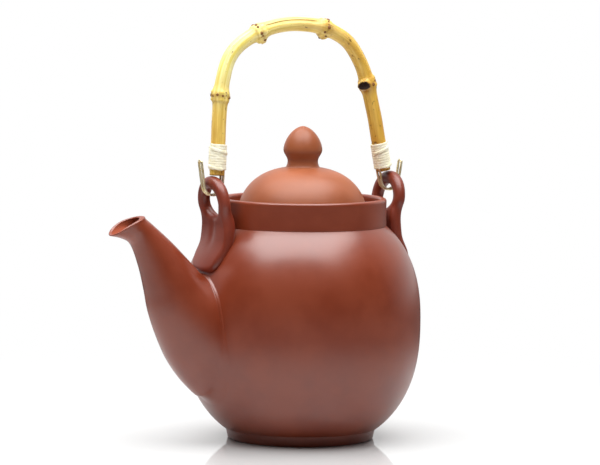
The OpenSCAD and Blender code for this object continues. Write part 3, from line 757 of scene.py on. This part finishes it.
def pot_lug(name, side):
    """A ring of clay that leans outwards, over a tongue pressed on the shoulder."""
    a = (np.linspace(0, 2 * math.pi, LUG_RAYS, endpoint=False) + 0.001)[:, None]
    b = np.linspace(0, 2 * math.pi, LUG_LOOP, endpoint=False)[None, :]
    sin, cos = np.sin(a), np.cos(a)
    down = np.maximum(-sin, 0)
    across, below = np.abs(cos) / LUG_HALF_W, down / (RING_Z - TONGUE_Z)
    tongue = (across**TONGUE_POWER + below**TONGUE_POWER) ** (-1 / TONGUE_POWER)
    tongue = tongue - LUG_WAIST * np.sin(math.pi * np.minimum(1, down / 0.87)) ** 1.7
    outer = np.where(sin >= 0, LUG_HALF_W, tongue)
    drop = 1 / np.hypot(cos / RING_HOLE_R, sin / (RING_HOLE_R - 2))
    inner = np.where(sin >= 0, RING_HOLE_R, drop)
    out = inner + (outer - inner) * (1 - np.cos(b)) / 2
    z, y = RING_Z + out * sin, out * cos
    half = key_value(LUG_THICKNESS, z)
    edge = np.minimum(1, np.minimum(out - inner, outer - out) / half)
    # A shallow valley runs down between the two strands, below the hole
    valley = hump(y, VALLEY_W) * smooth_step(108, 122, z) * (1 - smooth_step(133, 137, z)) * (sin < 0)
    h = (half - VALLEY * valley) * np.sqrt(np.maximum(0, 1 - (1 - edge) ** 2)) * np.sign(np.sin(b))
    slope = (lug_line(z + 0.1) - lug_line(z - 0.1)) / 0.2
    size = np.sqrt(1 + slope**2)
    wrap = smooth_step(0, 1, (WRAP_TOP_Z - z) / (WRAP_TOP_Z - TONGUE_Z))
    middle = lug_line(z)
    x = middle - wrap * (middle - np.sqrt(middle**2 - y**2)) + h / size
    points = np.stack([side * x, y, z - h * slope / size], -1).reshape(-1, 3)
    piece = mesh_piece(name, points, loop_faces(LUG_RAYS, LUG_LOOP, True))
    piece.data.materials.append(LUG_CLAY)
    return face_outwards(piece)


# Lid

def dome_points(r, h, low, high, count):
    turns = np.linspace(low, high, count)
    return [(float(round_r(r, h, DOME_POWER, h * math.sin(a))), SHOULDER_Z + h * math.sin(a)) for a in turns]


def lid_dome(tree):
    dome = dome_points(DOME_R, DOME_H, math.asin(BRIM_T / DOME_H), math.asin(KNOB_SEAT / DOME_H), 70)
    hollow = dome_points(DOME_IN_R, DOME_H - DOME_T, 0, math.pi / 2, 50)[::-1]
    outline = [
        (DOME_IN_R, SHOULDER_Z),
        (BRIM_R, SHOULDER_Z, 0.5),
        (BRIM_R, SHOULDER_Z + BRIM_T, 0.9),
        (*dome[0], 0.8),
        *dome[1:],
        (0, KNOB_Z),
        *hollow,
    ]
    piece = turned(tree, "lid_top", softened(outline), LID_SIDES, LID_CLAY)
    turn = math.radians(VENT_TURN)
    way = Vector((math.sin(turn), 0, math.cos(turn)))
    place = Vector((0, 0, SHOULDER_Z + VENT_RISE)) + way * DOME_R
    drilled(piece, VENT_D / 2, DOME_R, place, way)
    return piece


def knob(tree):
    rise = np.linspace(0, KNOB_WIDE_H, 34)
    low = WAIST_R + (KNOB_FOOT_R - WAIST_R) * np.maximum(0, 1 - rise / WAIST_H) ** 2
    swing = math.pi * (rise - WAIST_H) / (KNOB_WIDE_H - WAIST_H)
    high = WAIST_R + (KNOB_R - WAIST_R) * (1 - np.cos(swing)) / 2
    flare = np.where(rise < WAIST_H, low, high)
    cap = [
        (float(round_r(KNOB_R, KNOB_H - KNOB_WIDE_H, KNOB_POWER, h)), KNOB_Z + KNOB_WIDE_H + h)
        for h in (KNOB_H - KNOB_WIDE_H) * np.sin(np.linspace(0, math.pi / 2, 30)[1:])
    ]
    outline = [
        (0, KNOB_Z - 1.2),
        # The knob's foot is smeared out a little over the dome
        (KNOB_FOOT_R + 1.6, KNOB_Z - 1.2),
        (KNOB_FOOT_R + 1.6, KNOB_Z - 0.75),
        (KNOB_FOOT_R + 0.6, KNOB_Z - 0.12),
        *[(float(r), KNOB_Z + float(h)) for r, h in zip(flare, rise)][1:],
        *cap[:-1],
        (0, KNOB_Z + KNOB_H),
    ]
    return turned(tree, "lid_knob_top", softened(outline, 0.8), KNOB_SIDES, LID_CLAY)


# Bail

LEG_R, TOP_R = 4.2, 4.05
BAIL_RISE, LEG_STRAIGHT, END_GAP = 101.5, 20, 0.4
INSET = {-1: 1.7, 1: 3.6}
LEAN = {-1: 1.5, 1: 11.5}
LEG_Z = RING_TOP + END_GAP
KNOTS = [2.44, 5.35, 7.88, 11.1]
STUB_TURN, STUB_R = -39, 2.6
WIRE_R, WIRE_PAIR, WIRE_INSET, GROOVE_GAP = 0.7, 3.3, 3.2, 0.05
TURNS, PITCH, STRAND_D = 10, 1.45, 0.85
START = {-1: 2.9, 1: 1.7}
STEM_RINGS, STEM_SIDES = 600, 96
BUDS, BUD_R, BUD_FLATNESS = 11, 0.62, 0.55
# Each ridge round a joint is [height, place along the stem, width, share of unevenness]
RIDGES = [
    [1.1, 0, 3.1, 0], [0.14, 0, 9, 0], [0.35, -2.3, 0.8, 1],
    [0.25, 2.2, 1, 1], [0.3, 3.4, 2.2, 0], [-0.12, 0.1, 0.5, 0],
]
INNER_LUMPS = [0.1, 1.7, 1.5, 0.2]
# How golden the stem is, at shares of its length
GOLD_TONE_PLACES, GOLD_TONES = [0, 0.14, 0.27, 0.42, 0.6, 0.75, 1], [0.75, 0.7, 0.04, 0.4, 0.55, 0.78, 0.92]


def leg_end(side):
    return np.array([side * (RING_X - INSET[side]), LEG_Z])


def leg_up(side):
    lean = math.radians(LEAN[side])
    return np.array([-side * math.sin(lean), math.cos(lean)])


def bail_line():
    bend = [
        [-0.977, 0.521], [-0.94, 0.694], [-0.837, 0.836], [-0.621, 0.93], [-0.326, 0.988], [-0.015, 1],
        [0.283, 0.972], [0.545, 0.898], [0.7, 0.782], [0.785, 0.674], [0.852, 0.538],
    ]
    front, rear = leg_end(-1), leg_end(1)
    middle, half = (front[0] + rear[0]) / 2, (rear[0] - front[0]) / 2
    arch = [[middle + half * x, RING_Z + BAIL_RISE * y] for x, y in bend]
    return np.array([front, front + LEG_STRAIGHT * leg_up(-1), *arch, rear + LEG_STRAIGHT * leg_up(1), rear])


def bail_point(line, t):
    last = len(line) - 1
    t = np.asarray(t, float)
    p = along(line, t)
    low, high = (t <= 1)[:, None], (t >= last - 1)[:, None]
    p = np.where(low, line[0] + (line[1] - line[0]) * t[:, None], p)
    return np.where(high, line[-2] + (line[-1] - line[-2]) * (t[:, None] - last + 1), p)


def bamboo_stem():
    """The bent rod, with its joints, buds, the sawn stub and the grooves that take the wires."""
    random = np.random.default_rng(11)
    line = bail_line()
    last = len(line) - 1
    t_fine = np.linspace(0, last, 4000)
    p_fine = bail_point(line, t_fine)
    run = np.concatenate([[0], np.cumsum(np.linalg.norm(np.diff(p_fine, axis=0), axis=1))])
    rings, sides = STEM_RINGS, STEM_SIDES
    s = np.linspace(0, run[-1], rings)
    t = np.interp(s, run, t_fine)
    c = bail_point(line, t)
    d = bail_point(line, np.minimum(t + 0.02, last)) - bail_point(line, np.maximum(t - 0.02, 0))
    d /= np.linalg.norm(d, axis=1, keepdims=True)
    a = np.linspace(0, 2 * math.pi, sides, endpoint=False)[None, :]
    s2 = s[:, None]
    base = LEG_R + (TOP_R - LEG_R) * np.sin(math.pi * t / last)
    r = np.repeat(base[:, None], sides, 1)
    # Brown marks at the joints, the sawn ends and round the stub, plus painted shade along the edges of the bud's
    # groove
    joint = np.zeros_like(r)
    places = np.interp(KNOTS, t_fine, run)
    for k, place in enumerate(places):
        slant = random.uniform(-0.5, 0.5) * np.cos(a - random.uniform(0, 6.28))
        e = s2 - place + slant
        wave = 0.2 * np.sin(3 * a + k) + 0.14 * np.sin(5 * a + 2 * k) + 0.1 * np.sin(9 * a + 3 * k)
        for height, at, width, uneven in RIDGES:
            r = r + (height + uneven * wave) * hump(e - at, width)
        r = r + INNER_LUMPS[k] * np.exp(-(((e - 0.5) / 2.4) ** 2) - (half_turned(a) / 0.7) ** 2)
        patchy = 0.6 + 0.4 * np.sin(4 * a + 5 * k) * np.cos(7 * a + k)
        joint = np.maximum(joint, 0.5 * patchy * hump(e - 0.1, 1.1))
        joint = np.maximum(joint, 0.3 * patchy * hump(e + 3.2, 0.4))
    for size, cycles in ((0.07, 3), (0.05, 7), (0.04, 13)):
        r = r + size * np.sin(cycles * s2 / run[-1] * 6.28 + random.uniform(0, 6.28) + a)
    # The sawn branch stub: a raised rim round a shallow dish, coloured near-black partly as the cut's own dark wood
    # and partly as painted shade of a deeper hollow
    off = half_turned(a - math.radians(STUB_TURN)) * LEG_R
    far = np.hypot(s2 - places[3], off)
    round_it = np.arctan2(off, s2 - places[3])
    far = far * (1 + 0.08 * np.sin(3 * round_it + 1) + 0.03 * np.sin(8 * round_it))
    torn = 0.12 * np.sin(off * 5 + s2 * 3) * np.sin(s2 * 6 - off * 2)
    r = r + 1.25 * (1 - smooth_step(STUB_R * 0.85, STUB_R * 1.6, far))
    r = r + (torn - 0.75) * (1 - smooth_step(STUB_R * 0.3, STUB_R * 1.0, far))
    upper = smooth_step(-0.5, 1.5, places[3] - s2)
    r = r + 0.5 * upper * hump(far - STUB_R * 1.08, 0.5)
    # Near-black over the stub's dish: the cut's dark wood with painted shade of its hollow; the sawn ends get about
    # a quarter of the same darkening
    scar_and_hollow_shade = 1 - smooth_step(STUB_R * 0.88, STUB_R * 1.05, far)
    halo = np.exp(-((off / 2.2) ** 2) - ((s2 - places[3] - 3.2) / 1.8) ** 2)
    joint = np.maximum(joint, 0.9 * halo)
    # The bud's groove, a shallow channel along the top, with painted shade along its edges, darker on the upper one
    starts = smooth_step(places[1] + 2.5, places[1] + 5, s2)
    span = starts * (1 - smooth_step(places[2] - 9, places[2] - 3, s2))
    gap = half_turned(a + 2.1) * TOP_R
    r = r - 0.55 * hump(gap, 0.95, 4) * span
    joint = np.maximum(joint, 0.75 * hump(gap + 0.85, 0.26) * span)
    joint = np.maximum(joint, 0.4 * hump(gap - 0.9, 0.24) * span)
    # Grooves for the wires, on the inside of each leg; a is 0 there
    for side, up in ((-1, s), (1, run[-1] - s)):
        inside = (up < START[side] + (TURNS + 1) * PITCH)[:, None]
        for y in (-1, 1):
            centre = np.hypot(WIRE_INSET, WIRE_PAIR / 2)
            turn = math.atan2(y * WIRE_PAIR / 2, WIRE_INSET)
            aside = centre * np.sin(a - turn)
            groove = WIRE_R + GROOVE_GAP
            near = centre * np.cos(a - turn) - np.sqrt(np.maximum(0, groove**2 - aside**2))
            hit = inside & (np.abs(aside) < groove) & (np.cos(a - turn) > 0)
            r = np.where(hit, np.minimum(r, near), r)
    u, v = r * np.cos(a), r * np.sin(a)
    points = np.stack([c[:, :1] + u * d[:, 1:], v, c[:, 1:] - u * d[:, :1]], -1)
    straight = np.stack([u, v, np.repeat(s2, sides, 1)], -1) * MM
    gold_tone = np.repeat(np.interp(s / run[-1], GOLD_TONE_PLACES, GOLD_TONES)[:, None], sides, 1)
    ends_mark = np.maximum(1 - smooth_step(0, 1.2, s2), smooth_step(run[-1] - 1.2, run[-1], s2))
    joint = np.maximum(joint, 0.8 * ends_mark)
    rows = [points.reshape(-1, 3)]
    data = {
        "straight": [straight.reshape(-1, 3)],
        "gold_tone": [gold_tone.ravel()],
        "joint": [joint.ravel()],
        "scar_and_hollow_shade": [scar_and_hollow_shade.ravel()],
    }
    # The sawn ends, closed by rings of points and one point in the middle
    faces = loop_faces(rings, sides, False)
    count = rings * sides
    for ring, sign in ((0, 1), (rings - 1, -1)):
        centre = np.array([c[ring, 0], 0, c[ring, 1]])
        ahead = np.array([d[ring, 0], 0, d[ring, 1]])
        edge = list(range(ring * sides, ring * sides + sides))
        for share in (0.93, 0.6, 0.25):
            cap = centre + (points[ring] - centre) * share
            rows.append(cap + ahead * sign * (0.25 if share < 0.9 else -0.12))
            now = list(range(count, count + sides))
            pairs = zip(edge, edge[1:] + edge[:1], now[1:] + now[:1], now)
            faces += [(p[3], p[2], p[1], p[0]) if sign > 0 else p for p in pairs]
            for name, value in zip(data, (straight[ring], gold_tone[ring], np.full(sides, 0.9), np.full(sides, 0.25))):
                data[name].append(value)
            count += sides
            edge = now
        rows.append((centre + ahead * sign * 0.3)[None])
        for j in range(sides):
            three = (edge[j], edge[(j + 1) % sides], count)
            faces.append(three[::-1] if sign > 0 else three)
        for name, value in zip(data, (straight[ring][:1], gold_tone[ring][:1], np.full(1, 0.9), np.full(1, 0.3))):
            data[name].append(value)
        count += 1
    piece = mesh_piece("bamboo_stem", np.concatenate(rows), faces)
    for name, parts in data.items():
        marked(piece, name, np.concatenate(parts))
    piece.data.materials.append(BAMBOO)
    face_outwards(piece)

    # Places of the root buds, in a band between each joint's two ridges and clear of the stub
    spots, ways, sizes = [], [], []
    for k, place in enumerate(places):
        for j in range(BUDS):
            turn = 2 * math.pi * (j + random.uniform(-0.3, 0.3)) / BUDS
            where = place + random.uniform(-0.9, 1.1)
            if k == 3 and abs(half_turned(turn - math.radians(STUB_TURN))) < 0.8:
                continue
            i = int(np.argmin(abs(s - where)))
            w = int(round(turn / (2 * math.pi) * sides)) % sides
            out = np.array([np.cos(turn) * d[i, 1], np.sin(turn), -np.cos(turn) * d[i, 0]])
            spots.append(points[i, w])
            ways.append(out)
            sizes.append(random.uniform(0.9, 1.8))
    return piece, (np.array(spots), np.array(ways), np.array(sizes))


def bud_tree():
    """Sets a small low dome on each point, square to the stem."""
    shape = Shape("root buds", Radius=float, Flatness=float, Material=bpy.types.Material)
    points, radius, flat, material = shape.given[:4]
    dome = shape.add("GeometryNodeMeshIcoSphere", {"Radius": radius, "Subdivisions": 3}).outputs[0]
    way, size = shape.named("way", "FLOAT_VECTOR"), shape.named("size", "FLOAT")
    turn = shape.add("FunctionNodeAlignRotationToVector", {"Vector": way}, axis="Z").outputs[0]
    low = shape.vector(1.0, 1.0, flat)
    scale = shape.add("ShaderNodeVectorMath", {0: low, "Scale": size}, operation="SCALE").outputs[0]
    values = {"Points": points, "Instance": dome, "Rotation": turn, "Scale": scale}
    set_down = shape.add("GeometryNodeInstanceOnPoints", values)
    return shape.finish(set_down.outputs[0], material)


def root_buds(places):
    spots, ways, sizes = places
    mesh = bpy.data.meshes.new("root_buds")
    mesh.from_pydata((spots * MM).tolist(), [], [])
    piece = in_scene("root_buds", mesh)
    marked(piece, "way", ways)
    marked(piece, "size", sizes)
    return bud_tree().make(piece, Radius=BUD_R * MM, Flatness=BUD_FLATNESS, Material=BUD)


# Hooks

HOOK_R, HOOK_RISE, TIP_LEAN = 6, 5, 8
TIP_LEN = {-1: 13.2, 1: 10.4}
PINCH, WIRE_SIDES = 0.14, 16


def from_leg(side, p):
    """Points in a leg's own frame, moved to the leg."""
    p = np.asarray(p, float)
    lean = math.radians(LEAN[side])
    x = p[:, 0] * math.cos(lean) - p[:, 2] * math.sin(lean)
    z = p[:, 0] * math.sin(lean) + p[:, 2] * math.cos(lean)
    return np.stack([side * (abs(leg_end(side)[0]) + x), p[:, 1], LEG_Z + z], -1)


def hook_line(side):
    """The doubled wire's middle line: up one run, round the closed end and back down the other."""
    lean = math.radians(LEAN[side])
    opening = math.radians(LEAN[side] + TIP_LEAN)
    drop = (LEG_Z + (HOOK_R - WIRE_INSET) * math.sin(lean) - HOOK_R - RING_Z - HOOK_RISE) / math.cos(lean)
    centre = np.array([HOOK_R - WIRE_INSET, -drop])
    top = START[side] + (TURNS + 1) * PITCH - WIRE_R
    run = [[-WIRE_INSET, h] for h in np.linspace(top, -drop, 24, endpoint=False)]
    for a in np.linspace(math.pi, 2 * math.pi - opening, 26):
        run.append(centre + HOOK_R * np.array([math.cos(a), math.sin(a)]))
    way = np.array([math.sin(opening), math.cos(opening)])
    foot = centre + HOOK_R * np.array([math.cos(opening), -math.sin(opening)])
    run += [foot + way * TIP_LEN[side] * f for f in np.linspace(0, 1, 12)[1:]]
    run = np.array(run)
    # The two runs close up below the leg, as bent by hand
    y = WIRE_PAIR / 2
    pinch = 1 - PINCH * smooth_step(0.5, drop, -run[:, 1])
    one = np.stack([run[:, 0], -y * pinch, run[:, 1]], -1)
    two = np.stack([run[:, 0], y * pinch, run[:, 1]], -1)[::-1]
    turns = np.linspace(0, math.pi, 17)[1:-1]
    tip, out = run[-1], y * way
    end = [[tip[0] + math.sin(a) * out[0], -y * math.cos(a), tip[1] + math.sin(a) * out[1]] for a in turns]
    return from_leg(side, np.concatenate([one, end, two]))


def wire_tree():
    """Sweeps a round wire along a line."""
    shape = Shape("bent wire", Radius=float, Sides=int, Material=bpy.types.Material)
    line, radius, sides, material = shape.given[:4]
    curve = shape.add("GeometryNodeMeshToCurve", {0: line})
    section = shape.add("GeometryNodeCurvePrimitiveCircle", {"Radius": radius, "Resolution": sides})
    return shape.finish(shape.swept(curve.outputs[0], section.outputs[0]), material)


# Bindings

def winding_tree():
    """A flat strand wound round a leg, with uneven turns and both ends pressed in under them."""
    shape = Shape(
        "wound strand",
        Turns=float, Pitch=float, Radius=float, Width=float, Thickness=float,
        Unevenness=float, Tuck=float, First_Turn=float, Seed=float,
        Material=bpy.types.Material,
    )
    _, turns, pitch, radius, width, thick, uneven, tuck, first, seed, material = shape.given[:11]
    line = shape.add("GeometryNodeCurvePrimitiveLine")
    fine = shape.add("GeometryNodeResampleCurve", {"Curve": line.outputs[0], "Count": 720})
    share = shape.add("GeometryNodeSplineParameter").outputs["Factor"]
    turn = shape.times(share, turns, 2 * math.pi)
    angle = shape.plus(turn, first)
    cos, sin = shape.math("COSINE", angle), shape.math("SINE", angle)
    spot = {"Vector": shape.vector(cos, sin, shape.times(turn, 0.9)), "W": seed, "Scale": 0.8, "Detail": 1.0}
    noise = shape.add("ShaderNodeTexNoise", spot, noise_dimensions="4D").outputs["Fac"]
    wander = shape.math("SUBTRACT", noise, 0.5)
    rise = shape.plus(shape.times(share, turns, pitch), shape.times(wander, uneven))
    from_end = {"Value": shape.math("MINIMUM", share, shape.math("SUBTRACT", 1.0, share)), 2: 0.012, 3: 1.0, 4: 0.0}
    sunk = shape.add("ShaderNodeMapRange", from_end, interpolation_type="SMOOTHSTEP").outputs[0]
    swell = shape.times(wander, shape.times(uneven, 0.5))
    reach = shape.plus(shape.math("SUBTRACT", radius, shape.times(sunk, tuck)), swell)
    place = shape.vector(shape.times(reach, cos), shape.times(reach, sin), rise)
    wound = shape.moved(fine.outputs[0], place)
    upright = shape.add("GeometryNodeSetCurveNormal", {"Curve": wound}, mode="Z_UP").outputs[0]
    kept = shape.stored(upright, "length", shape.times(turn, radius), "FLOAT")
    # The strand's section, a rectangle with rounded corners
    circle = shape.add("GeometryNodeCurvePrimitiveCircle", {"Radius": 1.0, "Resolution": 14}).outputs[0]
    corner = shape.parts(shape.position())
    squared = []
    for axis, size in ((0, thick), (1, width)):
        bulge = shape.math("POWER", shape.math("ABSOLUTE", corner[axis]), 0.55)
        signed = shape.times(bulge, shape.math("SIGN", corner[axis]))
        squared.append(shape.times(signed, shape.times(size, 0.5)))
    flat = shape.vector(*squared)
    across = shape.stored(shape.moved(circle, flat), "across", flat, "FLOAT_VECTOR")
    swept = shape.swept(kept, across)
    over = shape.parts(shape.named("across", "FLOAT_VECTOR"))
    strand = shape.vector(shape.named("length", "FLOAT"), over[0], over[1])
    return shape.finish(shape.stored(swept, "strand", strand, "FLOAT_VECTOR"), material)


STRAND_W, STRAND_T, TUCK = 1.56, 0.66, 1.3
WINDING_SEED = {-1: 3, 1: 8}


def cane_binding(tree, name, side, seed):
    turn_r = max(math.hypot(WIRE_INSET, WIRE_PAIR / 2) + WIRE_R, LEG_R) + 0.05 + STRAND_D / 2
    parts = []
    windings = [
        # turns, pitch, radius, unevenness, first turn, seed, height
        (TURNS, PITCH, turn_r, 0.42, math.radians(20), seed, START[side]),
        (0.42, 8.4, turn_r + 0.42, 0.2, math.radians(200), seed + 5, START[side] + 9.2),
        (0.3, 6.2, turn_r + 0.4, 0.2, math.radians(265), seed + 9, START[side] + 0.6),
    ]
    for i, (turns, pitch, radius, uneven, first, grain, height) in enumerate(windings):
        strand = tree.make(
            line_piece(f"{name}_{i}", [(0, 0, 0), (0, 0, 1)]),
            Turns=float(turns), Pitch=pitch * MM, Radius=radius * MM,
            Width=STRAND_W * MM, Thickness=STRAND_T * MM,
            Unevenness=uneven * MM, Tuck=TUCK * MM,
            First_Turn=first, Seed=float(grain), Material=CANE,
        )
        points = np.array([v.co for v in strand.data.vertices]) / MM + np.array([0, 0, height])
        moved = from_leg(side, points) * MM
        strand.data.vertices.foreach_set("co", moved.ravel())
        parts.append(face_outwards(strand))
    whole = bmesh.new()
    for strand in parts:
        whole.from_mesh(strand.data)
    whole.to_mesh(parts[0].data)
    whole.free()
    for strand in parts[1:]:
        bpy.data.objects.remove(strand)
    parts[0].name = parts[0].data.name = name
    return parts[0]


# Putting the pot together

def stands_for(piece, body, slot, *nodes):
    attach(piece, body)
    if nodes:
        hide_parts(*nodes)


turning = turning_tree()
stands_for(pot_body(turning), "pot", "pot_clay", "body_shell")
stands_for(pot_foot(turning), "pot", "pot_clay", "foot_ring")
stands_for(pot_collar(turning), "pot", "pot_clay", "neck_collar")
stands_for(pot_spout(), "pot", "pot_clay", "spout")
stands_for(pot_lug("lug_by_spout", -1), "pot", "pot_clay", "front_lug")
stands_for(pot_lug("lug_at_back", 1), "pot", "pot_clay", "rear_lug")
stands_for(lid_dome(turning), "lid", "lid_clay", "lid_dome")
stands_for(knob(turning), "lid", "lid_clay", "lid_knob")

stem, bud_places = bamboo_stem()
stands_for(stem, "bail", "bamboo", "bamboo_bail")
stands_for(root_buds(bud_places), "bail", "bamboo")
wire = wire_tree()
winding = winding_tree()
for side, word in ((-1, "front"), (1, "rear")):
    bent = line_piece(f"{word}_wire_hook", hook_line(side))
    hook = wire.make(bent, Radius=WIRE_R * MM, Sides=WIRE_SIDES, Material=BRASS)
    stands_for(face_outwards(hook), "bail", "hook_wire", f"{word}_hook")
    binding = cane_binding(winding, f"{word}_cane_binding", side, WINDING_SEED[side])
    stands_for(binding, "bail", "rattan", f"{word}_binding")

for name, material in (("spout_strainer", POT_CLAY), ("lid_locating_ring", LID_CLAY)):
    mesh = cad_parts[name].data
    mesh.materials.clear()
    mesh.materials.append(material)


# Floor, backdrop and light

TABLE_HALF = 4000
ROOM_WAY = (0.5, 0.866, 0)
LAMP_PLACE, LAMP_TARGET = (-0.17, -0.13, 1.15), (-0.17, -0.129, 0)
LAMP_SIZE, LAMP_POWER, LAMP_TURN = (1.6, 1.15), 38, -30


def white_table():
    """A glossy table, over-exposed to white beyond the pot's own shadow and mirror image."""
    corners = [(x * TABLE_HALF, y * TABLE_HALF, 0) for x, y in ((-1, -1), (1, -1), (1, 1), (-1, 1))]
    floor = mesh_piece("table_top", corners, [(0, 1, 2, 3)])
    finish = Finish("white table")
    finish.set(Base_Color=(0.6, 0.6, 0.6, 1), Roughness=0.04, Specular_IOR_Level=0.6)
    far = finish.add("ShaderNodeVectorMath", {0: finish.place}, operation="LENGTH").outputs["Value"]
    rays = finish.add("ShaderNodeLightPath").outputs
    looked_at = finish.times(finish.fitted(far, 0.12, 0.42), rays["Is Camera Ray"])
    mirrored = finish.times(finish.fitted(far, 0.15, 0.5), rays["Is Glossy Ray"])
    share = finish.math("MAXIMUM", looked_at, mirrored)
    level = finish.fitted(rays["Is Camera Ray"], 0, 1, 0.12, 1.0)
    white = finish.add("ShaderNodeEmission", {"Color": (1, 1, 1, 1), "Strength": level})
    both = finish.add("ShaderNodeMixShader", {0: share, 1: finish.shader.outputs[0], 2: white.outputs[0]})
    finish.link(finish.tree.nodes["Material Output"], {"Surface": both.outputs[0]})
    floor.data.materials.append(finish.material)


def white_room():
    """A white wall behind the pot, and an unlit room on the side that it is seen from."""
    world = bpy.data.worlds.new("studio")
    world.use_nodes = True
    bpy.context.scene.world = world
    nodes = Nodes(world.node_tree)
    way = nodes.add("ShaderNodeTexCoord").outputs["Generated"]
    behind = nodes.add("ShaderNodeVectorMath", {0: way, 1: ROOM_WAY}, operation="DOT_PRODUCT").outputs["Value"]
    room = nodes.add("ShaderNodeMapRange", {"Value": behind, 1: 0.05, 2: 0.7, 3: 0.02, 4: 0.95}).outputs[0]
    rays = nodes.add("ShaderNodeLightPath").outputs
    filled = nodes.math("MULTIPLY_ADD", rays["Is Diffuse Ray"], 0.12, room)
    level = nodes.math("MAXIMUM", rays["Is Camera Ray"], filled)
    nodes.link(nodes.tree.nodes["Background"], {"Color": (1, 1, 1, 1), "Strength": level})


def softbox():
    light = bpy.data.lights.new("softbox overhead", "AREA")
    light.shape = "RECTANGLE"
    light.size, light.size_y = LAMP_SIZE
    light.energy = LAMP_POWER
    aim = (Vector(LAMP_TARGET) - Vector(LAMP_PLACE)).to_track_quat("-Z", "Y").to_matrix()
    turn = aim @ Matrix.Rotation(math.radians(LAMP_TURN), 3, "Z")
    in_scene("softbox overhead", light).matrix_world = Matrix.Translation(LAMP_PLACE) @ turn.to_4x4()


white_table()
white_room()
softbox()
scene = bpy.context.scene
scene.view_settings.view_transform = "Standard"


bpy.context.view_layer.update()
